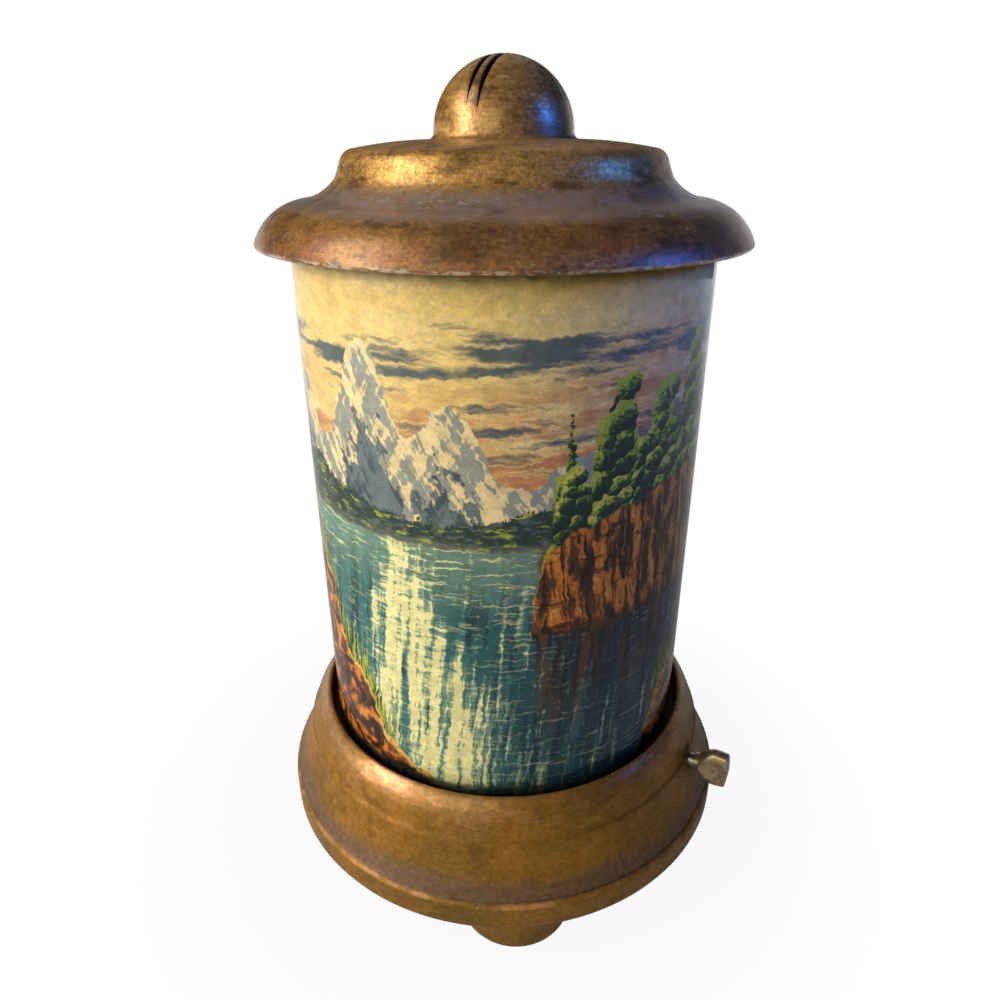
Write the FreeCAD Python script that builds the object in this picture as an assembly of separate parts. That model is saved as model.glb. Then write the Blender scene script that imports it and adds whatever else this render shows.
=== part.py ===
"""Rotating motion lamp: a cast base on three feet, a glass cylinder with a picture
sleeve inside it, a cast cap with a slotted vent dome, and behind the glass a keyed
lamp socket, a bulb and a vaned shade that turns on a needle in the bulb's warm draught.

Millimetres, +Z up. The origin is on the lamp's axis, in the plane of the feet's soles.
The front foot is on -Y. The switch key points 30 degrees right of the front quarter.
"""
import FreeCAD, Part
import math
import os
from FreeCAD import Vector

# ---- Clearances ---------------------------------------------------------------
RUNNING = 0.08            # radial clearance of a shaft in its hole
SLIP = 0.3                # between loose round parts, one inside the other
LIFT = 0.15               # needle tip to the jewel it carries

# ---- Base casting -------------------------------------------------------------
FOOT_COUNT = 3
FRONT_ANGLE = -90.0       # direction of the front foot
FOOT_H = 9.4
FOOT_TOP_R = 18.4
FOOT_SOLE_R = 18.2
FOOT_EDGE = 0.9
BAND_R = 80.6             # widest radius, the band above the feet
BAND_H = 9.4
BAND_EDGE_H = 2.0         # rounding of the band's top edge
BAND_EDGE_W = 1.0
GROOVE_W = 0.8            # fine line between the band and the flare
GROOVE_DEEP = 0.8
COVE_H = 17.3             # hollow flare from the groove up to the neck
COVE_DIP = 0.7            # how far the flare sags inside a straight line
NECK_R = 72.9
NOTCH = 0.5               # little step between the flare and the lip
LIP_H = 12.0
LIP_BULGE = 0.65
LIP_TOP_R = 66.6
COLLAR_GAP = 2.3          # glass to collar
COLLAR_DEPTH = 8.9        # rim down to the ledge that carries the glass
LEDGE_T = 3.0
LEDGE_REACH = 8.0
CAST_WALL = 3.5
WEB_W = 12.0              # three spider arms over the feet
WEB_T = 4.0
BOSS_R = 12.0
BOSS_SINK = 1.2           # boss face below the arms

# ---- Glass and picture --------------------------------------------------------
GLASS_R = 62.5
GLASS_WALL = 2.0
GLASS_H = 172.0
SLEEVE_WALL = 0.5

# ---- Cap casting --------------------------------------------------------------
CAP_OVERLAP = 7.0         # brim hangs this far below the glass's top edge
CAP_PLAY = 2.5            # glass to the brim's inner wall
CAP_WALL = 2.8
SEAT_REACH = 2.75         # how far the seat reaches inside the glass
BRIM_R = 71.9
BRIM_H = 11.6
BRIM_TOP_R = 59.6
BRIM_EDGE = 0.9
SHOULDER_R = 48.1
SHOULDER_H = 6.0
DRUM_TOP_R = 42.4
DRUM_H = 7.4
DRUM_SIDE_R = 46.5
COVE_EASE = 4.0           # rounding where the drum runs into the cove
BRIM_EASE = 3.0           # and where the cove runs out on the brim
DOME_R = 20.0
DRUM_CROWN = 2.2          # rise of the drum's top towards the dome
DOME_RAISE = 1.2          # centre of the dome above the crown
DOME_FLARE = 1.3
SLOT_W = 1.6
SLOT_PITCH = 3.3
SLOT_START_R = 3.5
SLOT_DROP = 15.5          # long slot of a pair, apex to point
SLOT_SHORT = 2.5          # its mate ends this much higher
SLOT_PAIR_ANGLES = (-120.0, -19.0, 110.5)

# ---- Socket -------------------------------------------------------------------
NIPPLE_R = 5.1
NIPPLE_BORE_R = 3.4
NIPPLE_TAIL = 5.6         # below the boss
NIPPLE_IN = 6.0           # into the socket cap
LOCKNUT_AF = 15.0
LOCKNUT_T = 3.0
THIMBLE_R = 7.6           # neck of the socket cap
THIMBLE_H = 4.5
SOCKET_CAP_H = 12.5
BRASS_T = 0.7
SHELL_R = 16.2
SHELL_IN_CAP = 3.6
SHELL_H = 45.0
LINER_T = 1.1
LINER_GAP = 0.15
PORCELAIN_H = 17.0
PORCELAIN_GAP = 0.25
CHAMBER_R = 6.2
CHAMBER_HALF = 6.5
SCREW_SHELL_R = 13.3      # inside
SCREW_SHELL_T = 0.45
SCREW_SHELL_H = 24.0
CONTACT_W = 5.0
CONTACT_LONG = 16.0
CONTACT_RISE = 2.2
CONTACT_T = 0.5
TERMINAL_R = 3.2
TERMINAL_HEAD = 1.9
TERMINAL_DEEP = 5.0

# ---- Switch key ---------------------------------------------------------------
KEY_ANGLE = -30.0
KEY_IN_SHELL = 8.4        # key axis above the shell's lower edge
SHAFT_R = 2.4
SHAFT_HOLE_R = 3.4        # through the brass shell and its liner
JOURNAL_R = 5.6           # boss inside the wall that carries the shaft
JOURNAL_LONG = 6.0
CAM_R = 5.5
CAM_HALF = 5.0
CAM_FLAT = 3.6
KEY_OUT = 11.0            # visible length of the key
KEY_STANDOFF = 0.4
KEY_NECK_R = 3.2
KEY_W = 14.5
KEY_T = 5.4
KEY_TIP_T = 4.4
KEY_CROWN = 0.8           # how far the outer end bows
KEY_EDGE = 0.7
KEY_BITE = 3.0            # shaft inside the key
DIMPLE_R = 16.0
DIMPLE_DEEP = 0.5

# ---- Bulb ---------------------------------------------------------------------
BULB_CAP_R = 13.0
BULB_CAP_H = 21.0
BULB_TIP_R = 4.2
BULB_TIP_H = 1.6
BULB_CONE_H = 2.4
BULB_NECK_R = 12.4
BULB_R = 28.0
BULB_GLASS_H = 80.0
BULB_GLASS_T = 0.8
STEM_R = 4.6
STEM_H = 24.0
ROD_R = 1.1
ROD_H = 14.0
LEAD_R = 0.35
FILAMENT_R = 9.0
FILAMENT_WIRE_R = 0.25
FILAMENT_STEPS = 6

# ---- Pivot bracket ------------------------------------------------------------
WIRE_R = 1.2
BAIL_HALF = 36.0          # axis of an upright to the lamp's axis
BAIL_BEND = 7.0
CLAMP_T = 1.0
CLAMP_H = 6.0
CLAMP_BELOW_RIM = 5.0     # clamp top edge below the shell's rim
CLAMP_LUG = 5.0
CLAMP_GAP = 1.6
CLAMP_SCREW_R = 1.25
FERRULE_R = 2.8
FERRULE_H = 8.0
BAIL_OVER_BULB = 12.0     # bulb's crown to the underside of the ferrule
NEEDLE_R = 0.9
NEEDLE_OUT = 15.0
NEEDLE_POINT = 3.0

# ---- Rotor --------------------------------------------------------------------
ROTOR_R = 51.0            # outside of the fan's hoop
HOOP_H = 8.0
HOOP_T = 0.5
VANE_COUNT = 16
VANE_PITCH_DEG = 30.0
VANE_T = 0.5
VANE_ROOT_W = 3.0
VANE_TIP_W = 15.0
HUB_R = 10.0
HUB_RISE = 3.4
CUP_R = 3.2
CUP_FLANGE_R = 5.0
CUP_FLANGE_T = 0.8
CUP_H = 9.0
CUP_WALL_TOP = 1.6        # jewel above the needle's tip
CUP_MOUTH_R = 2.2
CUP_SEAT_R = 0.35         # blunt end of the conical recess
FILM_T = 0.4
FILM_GLUE = 0.05
FILM_DROP = 128.0         # below the fan's hoop
BEAD_R = 0.7              # wire bead that rounds the film's lower edge

# ---- Cord bushing -------------------------------------------------------------
CORD_ANGLE = 90.0
BUSHING_BORE_R = 2.6
BUSHING_R = 3.6
BUSHING_FLANGE_R = 4.3
BUSHING_FLANGE_T = 1.2
BUSHING_LONG = 7.0

# ---- Heights and radii that follow --------------------------------------------
band_top = FOOT_H + BAND_H
neck_z = band_top + GROOVE_W + COVE_H
rim_z = neck_z + LIP_H
collar_r = GLASS_R + COLLAR_GAP
ledge_z = rim_z - COLLAR_DEPTH
ledge_r = GLASS_R - LEDGE_REACH + GLASS_WALL
cove_foot_r = BAND_R - BAND_EDGE_W - 0.3
foot_ring_r = BAND_R - FOOT_TOP_R
cast_inner_r = BAND_R - CAST_WALL
neck_inner_r = NECK_R - CAST_WALL
web_z = FOOT_H + 2.6
web_top = web_z + WEB_T
boss_z = web_z - BOSS_SINK
glass_top = ledge_z + GLASS_H
glass_in_r = GLASS_R - GLASS_WALL
sleeve_r = glass_in_r - SLIP
brim_z = glass_top - CAP_OVERLAP
shoulder_z = brim_z + BRIM_H
drum_z = shoulder_z + SHOULDER_H
drum_top = drum_z + DRUM_H
crown_z = drum_top + DRUM_CROWN
dome_z = crown_z + DOME_RAISE
apex_z = dome_z + DOME_R
shell_z = web_top + SOCKET_CAP_H - SHELL_IN_CAP
shell_top = shell_z + SHELL_H
key_z = shell_z + KEY_IN_SHELL
liner_r = SHELL_R - BRASS_T - LINER_GAP
porcelain_r = liner_r - LINER_T - PORCELAIN_GAP
porcelain_z = shell_z + 1.0
porcelain_top = porcelain_z + PORCELAIN_H
bulb_z = porcelain_top + CONTACT_RISE + 0.3
bulb_cap_top = bulb_z + BULB_TIP_H + BULB_CONE_H + BULB_CAP_H
bulb_top = bulb_cap_top + BULB_GLASS_H
clamp_z = shell_top - CLAMP_BELOW_RIM - CLAMP_H
ferrule_z = bulb_top + BAIL_OVER_BULB
bail_top = ferrule_z + FERRULE_H / 2
needle_tip = ferrule_z + FERRULE_H + NEEDLE_OUT
cup_top = needle_tip + LIFT + CUP_WALL_TOP
hub_z = cup_top - CUP_FLANGE_T
fan_z = hub_z - HUB_RISE
hoop_z = fan_z - HOOP_H / 2
film_z = hoop_z - FILM_DROP

UP = Vector(0, 0, 1)
ORIGIN = Vector(0, 0, 0)


def cove_radius(z):
    """Outside radius of the flare at a height, on the straight line less its dip."""
    share = (z - band_top - GROOVE_W) / COVE_H
    straight = cove_foot_r + (NECK_R - cove_foot_r) * share
    return straight - 4 * COVE_DIP * share * (1 - share)


# The key's inner end stands clear of the wall's widest point behind it.
key_start = cove_radius(key_z - KEY_NECK_R) + KEY_STANDOFF


def turned(shape, angle):
    """The shape turned about the lamp's axis."""
    copy = shape.copy()
    copy.rotate(ORIGIN, UP, angle)
    return copy


def around(shape, count, first):
    """Copies of a shape at equal angles about the lamp's axis, from a first angle on."""
    return [turned(shape, first + 360.0 * i / count) for i in range(count)]


def revolved(start, *steps):
    """Solid of revolution about Z from an outline of (r, z) points in order.

    A step is the next point, or a pair (middle, end) for an arc through both.
    """
    edges = []
    here = start
    for step in steps + (start,):
        if isinstance(step[0], tuple):
            middle, end = step
            arc = Part.Arc(*[Vector(r, 0, z) for r, z in (here, middle, end)])
            edges.append(arc.toShape())
        else:
            end = step
            if end != here:
                edges.append(Part.makeLine(Vector(here[0], 0, here[1]), Vector(end[0], 0, end[1])))
        here = end
    face = Part.Face(Part.Wire(edges))
    return face.revolve(ORIGIN, UP, 360)


def tube(outer_r, inner_r, z, height):
    """Upright tube on the lamp's axis."""
    outside = Part.makeCylinder(outer_r, height, Vector(0, 0, z))
    return outside.cut(Part.makeCylinder(inner_r, height, Vector(0, 0, z)))


def slab(long, wide, high, centre):
    """Box centred on a point."""
    corner = Vector(centre[0] - long / 2, centre[1] - wide / 2, centre[2] - high / 2)
    return Part.makeBox(long, wide, high, corner)


def along_key(radius, start, end):
    """Round bar on the key's axis, before it is turned to the key's angle."""
    return Part.makeCylinder(radius, end - start, Vector(start, 0, key_z), Vector(1, 0, 0))


def wire_run(points, radius, bend):
    """Round wire through points, with one bend radius at every corner."""
    edges = []
    here = points[0]
    for corner, after in zip(points[1:], points[2:] + [None]):
        if after is None:
            edges.append(Part.makeLine(here, corner))
            break
        way_in = (corner - here).normalize()
        way_out = (after - corner).normalize()
        turn = way_in.getAngle(way_out)
        back = bend * math.tan(turn / 2)
        first = corner - way_in * back
        last = corner + way_out * back
        inward = (way_out - way_in).normalize()
        middle = corner + inward * (bend / math.cos(turn / 2) - bend)
        edges.append(Part.makeLine(here, first))
        edges.append(Part.Arc(first, middle, last).toShape())
        here = last
    path = Part.Wire(edges)
    start_way = (points[1] - points[0]).normalize()
    ring = Part.Wire(Part.makeCircle(radius, points[0], start_way))
    return path.makePipeShell([ring], True, True)


# ---- Base: casting, bushing ---------------------------------------------------
def base_casting():
    """Moulded base: three feet, band, groove, hollow flare, rounded lip and collar."""
    groove_z = band_top + GROOVE_W
    cove_mid_z = groove_z + COVE_H / 2
    lip_mid = ((NECK_R + LIP_TOP_R) / 2 + LIP_BULGE, neck_z + LIP_H / 2)
    rim_mid_r = (LIP_TOP_R + collar_r) / 2
    body = revolved(
        (cast_inner_r, FOOT_H),
        (BAND_R - 0.4, FOOT_H),
        (BAND_R, FOOT_H + 0.8),
        (BAND_R, band_top - BAND_EDGE_H),
        ((BAND_R - BAND_EDGE_W * 0.3, band_top - BAND_EDGE_H * 0.3), (BAND_R - BAND_EDGE_W, band_top)),
        (BAND_R - BAND_EDGE_W - GROOVE_DEEP, band_top + GROOVE_W * 0.4),
        (cove_foot_r, groove_z),
        ((cove_radius(cove_mid_z), cove_mid_z), (NECK_R, neck_z)),
        (NECK_R - NOTCH, neck_z + 0.3),
        (lip_mid, (LIP_TOP_R, rim_z - 0.5)),
        ((rim_mid_r, rim_z), (collar_r, rim_z - 0.9)),
        (collar_r, ledge_z),
        (ledge_r, ledge_z),
        (ledge_r, ledge_z - LEDGE_T),
        (neck_inner_r, ledge_z - LEDGE_T - 1.5),
        ((cove_radius(cove_mid_z) - CAST_WALL, cove_mid_z - 1.5), (cast_inner_r, band_top - CAST_WALL)),
    )
    foot = revolved(
        (0, 0),
        (FOOT_SOLE_R - FOOT_EDGE, 0),
        ((FOOT_SOLE_R - FOOT_EDGE * 0.3, FOOT_EDGE * 0.3), (FOOT_SOLE_R, FOOT_EDGE)),
        (FOOT_TOP_R, FOOT_H),
        (FOOT_TOP_R, web_top),
        (0, web_top),
    )
    foot.translate(Vector(foot_ring_r, 0, 0))
    inside = Part.makeCylinder(BAND_R, web_top)
    arm = slab(cast_inner_r, WEB_W, WEB_T, (cast_inner_r / 2 + 1, 0, web_z + WEB_T / 2))
    boss = Part.makeCylinder(BOSS_R, web_top - boss_z, Vector(0, 0, boss_z))
    limbs = [foot.common(inside), arm]
    spider = [copy for limb in limbs for copy in around(limb, FOOT_COUNT, FRONT_ANGLE)]
    fused = body.fuse(spider + [boss])
    wall_r = cove_radius(key_z)
    journal = along_key(JOURNAL_R, wall_r - JOURNAL_LONG, wall_r - 1)
    fused = fused.fuse(turned(journal, KEY_ANGLE))
    key_hole = along_key(SHAFT_R + RUNNING, wall_r - JOURNAL_LONG - 2, BAND_R + 2)
    nipple_hole = Part.makeCylinder(NIPPLE_R + RUNNING, web_top)
    cord_z = FOOT_H + BAND_H / 2
    cord_hole = Part.makeCylinder(BUSHING_R, CAST_WALL * 3, Vector(cast_inner_r - CAST_WALL, 0, cord_z),
                                  Vector(1, 0, 0))
    sink = Part.makeCylinder(BUSHING_FLANGE_R + 0.1, 5, Vector(BAND_R - BUSHING_FLANGE_T, 0, cord_z),
                             Vector(1, 0, 0))
    cuts = [turned(key_hole, KEY_ANGLE), nipple_hole, turned(cord_hole, CORD_ANGLE), turned(sink, CORD_ANGLE)]
    return fused.cut(cuts).removeSplitter()


def cord_bushing():
    """Flanged insulating bushing that lines the cord's hole in the rear of the band."""
    cord_z = FOOT_H + BAND_H / 2
    way = Vector(1, 0, 0)
    face_r = BAND_R - BUSHING_FLANGE_T
    flange = Part.makeCylinder(BUSHING_FLANGE_R, BUSHING_FLANGE_T, Vector(face_r, 0, cord_z), way)
    start = Vector(BAND_R - BUSHING_LONG, 0, cord_z)
    barrel = Part.makeCylinder(BUSHING_R, BUSHING_LONG, start, way)
    bore = Part.makeCylinder(BUSHING_BORE_R, BUSHING_LONG, start, way)
    return turned(barrel.fuse(flange).cut(bore).removeSplitter(), CORD_ANGLE)


# ---- Base: nipple and keyed socket --------------------------------------------
def socket_nipple():
    """Threaded tube that clamps the socket to the boss and lets the cord through."""
    low = boss_z - NIPPLE_TAIL
    return tube(NIPPLE_R, NIPPLE_BORE_R, low, web_top + NIPPLE_IN - low)


def nipple_locknut():
    """Hexagon nut under the boss."""
    corner_r = LOCKNUT_AF / math.sqrt(3)
    low = Vector(0, 0, boss_z - LOCKNUT_T)
    ring = [low + Vector(corner_r * math.cos(a), corner_r * math.sin(a), 0)
            for a in [math.radians(60 * i) for i in range(7)]]
    prism = Part.Face(Part.makePolygon(ring)).extrude(UP * LOCKNUT_T)
    return prism.cut(Part.makeCylinder(NIPPLE_R, LOCKNUT_T, low))


def socket_cap():
    """Spun brass cup that screws on the nipple and takes the shell in its rim."""
    low = web_top
    cup_r = SHELL_R + BRASS_T
    belly_z = low + THIMBLE_H + 4.4
    return revolved(
        (NIPPLE_R, low),
        (THIMBLE_R, low),
        (THIMBLE_R, low + THIMBLE_H),
        ((cup_r - 2.6, low + THIMBLE_H + 1.4), (cup_r, belly_z)),
        (cup_r, low + SOCKET_CAP_H),
        (SHELL_R, low + SOCKET_CAP_H),
        (SHELL_R, belly_z),
        ((SHELL_R - 2.6, low + THIMBLE_H + 2.1), (THIMBLE_R - 1, low + THIMBLE_H + BRASS_T)),
        (NIPPLE_R, low + THIMBLE_H + BRASS_T),
    )


def socket_shell():
    """Brass shell with two rolled beads and the key's hole."""
    bead_z = [shell_top - 2.2, clamp_z - 2.4]
    shell = tube(SHELL_R, SHELL_R - BRASS_T, shell_z, SHELL_H)
    beads = [revolved((SHELL_R - 0.3, z - 1.1), (SHELL_R, z - 1.1),
                      ((SHELL_R + 0.6, z), (SHELL_R, z + 1.1)), (SHELL_R - 0.3, z + 1.1))
             for z in bead_z]
    hole = turned(along_key(SHAFT_HOLE_R, SHELL_R - 4, SHELL_R + 4), KEY_ANGLE)
    return shell.fuse(beads).cut(hole).removeSplitter()


def socket_liner():
    """Fibre tube that keeps the live screw shell off the brass."""
    low = shell_z + 1.0
    liner = tube(liner_r, liner_r - LINER_T, low, shell_top - low - 0.5)
    return liner.cut(turned(along_key(SHAFT_HOLE_R, liner_r - 4, liner_r + 4), KEY_ANGLE))


def terminal_places():
    """Centre line and outward way of each terminal screw, either side of the key."""
    z = porcelain_z + PORCELAIN_H * 0.62
    face_r = porcelain_r - TERMINAL_HEAD - 0.3
    return [(Vector(0, side * face_r, z), Vector(0, side, 0)) for side in (-1, 1)]


def socket_body():
    """Porcelain block: switch chamber across it, wire way below, terminal pockets."""
    block = Part.makeCylinder(porcelain_r, PORCELAIN_H, Vector(0, 0, porcelain_z))
    chamber = along_key(CHAMBER_R, -CHAMBER_HALF, porcelain_r + 1)
    wire_way = Part.makeCylinder(NIPPLE_R + 0.5, key_z - porcelain_z, Vector(0, 0, porcelain_z))
    cuts = [chamber, wire_way]
    for spot, way in terminal_places():
        cuts.append(Part.makeCylinder(TERMINAL_R + 0.5, TERMINAL_R * 2, spot, way))
        cuts.append(Part.makeCylinder(TERMINAL_R / 2, TERMINAL_DEEP, spot, way * -1))
    return turned(block.cut(cuts), KEY_ANGLE)


def terminal_screws():
    """Two binding screws with slotted heads."""
    screws = []
    for spot, way in terminal_places():
        head = Part.makeCylinder(TERMINAL_R, TERMINAL_HEAD, spot, way)
        shank = Part.makeCylinder(TERMINAL_R / 2, TERMINAL_DEEP, spot, way * -1)
        slot_centre = spot + way * TERMINAL_HEAD
        slot = slab(TERMINAL_R * 3, 1.2, 0.7, slot_centre)
        screws.append(head.fuse(shank).cut(slot).removeSplitter())
    return turned(Part.makeCompound(screws), KEY_ANGLE)


def screw_shell():
    """Plain form of the socket's screw shell, flanged on to the porcelain."""
    outer = SCREW_SHELL_R + SCREW_SHELL_T
    return revolved(
        (CONTACT_LONG / 2 + 1, porcelain_top),
        (outer, porcelain_top),
        (outer, porcelain_top + SCREW_SHELL_H),
        (SCREW_SHELL_R, porcelain_top + SCREW_SHELL_H),
        (SCREW_SHELL_R, porcelain_top + SCREW_SHELL_T),
        (CONTACT_LONG / 2 + 1, porcelain_top + SCREW_SHELL_T),
    )


def centre_contact():
    """Sprung brass leaf that bows up to the bulb's tip."""
    half = CONTACT_LONG / 2
    low = porcelain_top
    top = Part.Arc(Vector(-half, 0, low + CONTACT_T), Vector(0, 0, low + CONTACT_RISE),
                   Vector(half, 0, low + CONTACT_T)).toShape()
    under = Part.Arc(Vector(half, 0, low), Vector(0, 0, low + CONTACT_RISE - CONTACT_T),
                     Vector(-half, 0, low)).toShape()
    ends = [Part.makeLine(Vector(s * half, 0, low), Vector(s * half, 0, low + CONTACT_T))
            for s in (1, -1)]
    strip = Part.Face(Part.Wire([top, ends[0], under, ends[1]]))
    strip.translate(Vector(0, -CONTACT_W / 2, 0))
    return turned(strip.extrude(Vector(0, CONTACT_W, 0)), KEY_ANGLE)


# ---- Base: bulb ---------------------------------------------------------------
def bulb_base():
    """Screw cap of the bulb with its insulating cone and centre tip."""
    cone_z = bulb_z + BULB_TIP_H
    cap_z = cone_z + BULB_CONE_H
    return revolved(
        (0, bulb_z),
        (BULB_TIP_R - 1, bulb_z),
        (BULB_TIP_R, bulb_z + BULB_TIP_H),
        (BULB_CAP_R - 2, cap_z),
        (BULB_CAP_R, cap_z + 1.2),
        (BULB_CAP_R, bulb_cap_top - 1.5),
        (BULB_NECK_R + 0.2, bulb_cap_top),
        (0, bulb_cap_top),
    )


def bulb_profile(inset):
    """Outline of the bulb's skin from the neck to the crown, moved inwards by an inset."""
    belly_z = bulb_top - BULB_R
    ball_r = BULB_R - inset
    neck_r = BULB_NECK_R - inset
    wide = ball_r * math.cos(math.radians(30))
    return [
        (neck_r, bulb_cap_top),
        (neck_r, bulb_cap_top + 8),
        (wide, belly_z - ball_r / 2),
        ((wide, belly_z + ball_r / 2), (0, belly_z + ball_r)),
    ]


def bulb_glass():
    """Blown pear-shaped bulb, open at the neck."""
    skin = bulb_profile(0)
    hollow = bulb_profile(BULB_GLASS_T)
    outside = revolved(*skin, (0, bulb_cap_top))
    return outside.cut(revolved(*hollow, (0, bulb_cap_top)))


def filament_point(i):
    """One of the zigzag's turning points, alternately high and low, on a ring."""
    angle = math.radians(20 + 320.0 * i / FILAMENT_STEPS)
    z = bulb_cap_top + STEM_H + ROD_H - (1.5 if i % 2 else 9.5)
    return Vector(FILAMENT_R * math.cos(angle), FILAMENT_R * math.sin(angle), z)


def bulb_stem():
    """Flared glass stem with its rod and button, and the wires that carry the filament."""
    low = bulb_cap_top
    top = low + STEM_H
    button_z = top + ROD_H
    stem = revolved(
        (0, low),
        (BULB_NECK_R - BULB_GLASS_T, low),
        (BULB_NECK_R - BULB_GLASS_T, low + 1),
        ((STEM_R + 1.9, low + 5), (STEM_R, low + 12)),
        (STEM_R - 2, top),
        (ROD_R, top + 1),
        (ROD_R, button_z),
        (0, button_z),
    )
    button = Part.makeSphere(ROD_R * 2, Vector(0, 0, button_z))
    wires = []
    for i in range(FILAMENT_STEPS + 1):
        tip = filament_point(i)
        root = Vector(0, 0, button_z if i % 2 else top)
        way = tip - root
        wires.append(Part.makeCylinder(LEAD_R, way.Length - 0.1, root, way))
    return stem.fuse([button] + wires).removeSplitter()


def bulb_filament():
    """Tungsten zigzag between the support wires."""
    spans = []
    knots = []
    for i in range(FILAMENT_STEPS):
        start = filament_point(i)
        way = filament_point(i + 1) - start
        spans.append(Part.makeCylinder(FILAMENT_WIRE_R, way.Length, start, way))
    for i in range(FILAMENT_STEPS + 1):
        knots.append(Part.makeSphere(LEAD_R, filament_point(i)))
    return knots[0].fuse(knots[1:] + spans).removeSplitter()


# ---- Base: pivot bracket ------------------------------------------------------
def clamp_lug_centre():
    """Middle of the clamp's two ears, away from the key."""
    return SHELL_R + CLAMP_T + CLAMP_LUG / 2 - 0.3


def pivot_bracket():
    """Wire bail over the bulb, brazed to a clamp ring below and a ferrule above."""
    mid_z = clamp_z + CLAMP_H / 2
    ring = tube(SHELL_R + CLAMP_T, SHELL_R, clamp_z, CLAMP_H)
    ears = slab(CLAMP_LUG, CLAMP_GAP + 2 * CLAMP_T, CLAMP_H, (clamp_lug_centre(), 0, mid_z))
    slit = slab(SHELL_R, CLAMP_GAP, CLAMP_H, (SHELL_R * 1.5 - 2, 0, mid_z))
    screw_hole = Part.makeCylinder(CLAMP_SCREW_R, 20, Vector(clamp_lug_centre() + 0.6, -10, mid_z),
                                   Vector(0, 1, 0))
    bore = Part.makeCylinder(SHELL_R, CLAMP_H, Vector(0, 0, clamp_z))
    clamp = ring.fuse(ears.cut(bore)).cut([slit, screw_hole])
    ferrule = Part.makeCylinder(FERRULE_R, FERRULE_H, Vector(0, 0, ferrule_z))
    needle_hole = Part.makeCylinder(NEEDLE_R, FERRULE_H, Vector(0, 0, ferrule_z))
    arms = []
    for side in (-1, 1):
        points = [Vector(0, side * (SHELL_R + 0.2), mid_z), Vector(0, side * BAIL_HALF, mid_z),
                  Vector(0, side * BAIL_HALF, bail_top), Vector(0, side * (FERRULE_R - 0.6), bail_top)]
        arms.append(wire_run(points, WIRE_R, BAIL_BEND))
    bail = arms[0].fuse([arms[1], ferrule]).cut([needle_hole, bore])
    return turned(clamp.fuse(bail).removeSplitter(), KEY_ANGLE + 180)


def bracket_screw():
    """Small screw and nut that close the clamp's ears."""
    mid_z = clamp_z + CLAMP_H / 2
    half = CLAMP_GAP / 2 + CLAMP_T
    x = clamp_lug_centre() + 0.6
    way = Vector(0, 1, 0)
    shank = Part.makeCylinder(CLAMP_SCREW_R, 2 * half + 3, Vector(x, -half, mid_z), way)
    head = Part.makeCylinder(CLAMP_SCREW_R * 1.9, 1.4, Vector(x, -half - 1.4, mid_z), way)
    nut = slab(4.2, 1.5, 4.2, (x, half + 0.75, mid_z))
    slot = slab(CLAMP_SCREW_R * 5, 0.8, 0.6, (x, -half - 1.4, mid_z))
    return turned(shank.fuse([head, nut]).cut(slot).removeSplitter(), KEY_ANGLE + 180)


def pivot_needle():
    """Steel needle held in the ferrule, with a conical point."""
    return revolved(
        (0, ferrule_z),
        (NEEDLE_R, ferrule_z),
        (NEEDLE_R, needle_tip - NEEDLE_POINT),
        (0.12, needle_tip),
        (0, needle_tip),
    )


# ---- Switch -------------------------------------------------------------------
def key_section(x, half_width, half_thick):
    """Round-ended slot outline across the key's axis, wide way up."""
    run = half_width - half_thick
    top = [Vector(x, -half_thick, run), Vector(x, 0, half_width), Vector(x, half_thick, run)]
    low = [Vector(x, half_thick, -run), Vector(x, 0, -half_width), Vector(x, -half_thick, -run)]
    return Part.Wire([Part.Arc(*top).toShape(), Part.makeLine(top[2], low[0]),
                      Part.Arc(*low).toShape(), Part.makeLine(low[2], top[0])])


def switch_key():
    """Cast turn key: a round neck that spreads to a flat, dimpled paddle with a bowed end."""
    start = key_start
    end = start + KEY_OUT
    stations = [(0.0, KEY_NECK_R, KEY_NECK_R * 0.95), (0.18, KEY_NECK_R * 1.12, KEY_NECK_R * 0.97),
                (0.48, KEY_W * 0.455, KEY_T / 2), (0.78, KEY_W * 0.49, (KEY_T + KEY_TIP_T) / 4),
                (1.12, KEY_W * 0.51, KEY_TIP_T / 2)]
    ovals = [key_section(start + KEY_OUT * share, wide, thick) for share, wide, thick in stations]
    paddle = Part.makeLoft(ovals, True)
    bow_r = (KEY_W ** 2 / 4 + KEY_CROWN ** 2) / (2 * KEY_CROWN)
    bow = Part.makeCylinder(bow_r, KEY_W, Vector(end + KEY_CROWN - bow_r, KEY_W / 2, 0), Vector(0, -1, 0))
    paddle = paddle.common(bow)
    rim = [e for e in paddle.Edges if e.BoundBox.XMin > start + KEY_OUT * 0.8]
    paddle = paddle.makeFillet(KEY_EDGE, rim)
    for side in (-1, 1):
        deep = KEY_T / 2 - 0.3 - DIMPLE_DEEP + DIMPLE_R
        paddle = paddle.cut(Part.makeSphere(DIMPLE_R, Vector(start + KEY_OUT * 0.74, side * deep, 0)))
    paddle.translate(Vector(0, 0, key_z))
    return turned(paddle.cut(along_key(SHAFT_R, start, start + KEY_BITE)), KEY_ANGLE)


def switch_shaft():
    """Round extension shaft from the key, through the wall, into the socket."""
    return turned(along_key(SHAFT_R, CAM_HALF, key_start + KEY_BITE), KEY_ANGLE)


def switch_cam():
    """Fibre cam on the shaft's end, flattened on two sides for the contact leaves."""
    cam = along_key(CAM_R, -CAM_HALF, CAM_HALF)
    flats = [slab(CAM_HALF, CAM_R * 3, CAM_R, (0, 0, key_z + s * (CAM_FLAT + CAM_R / 2))) for s in (-1, 1)]
    return turned(cam.cut(flats), KEY_ANGLE)


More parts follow.
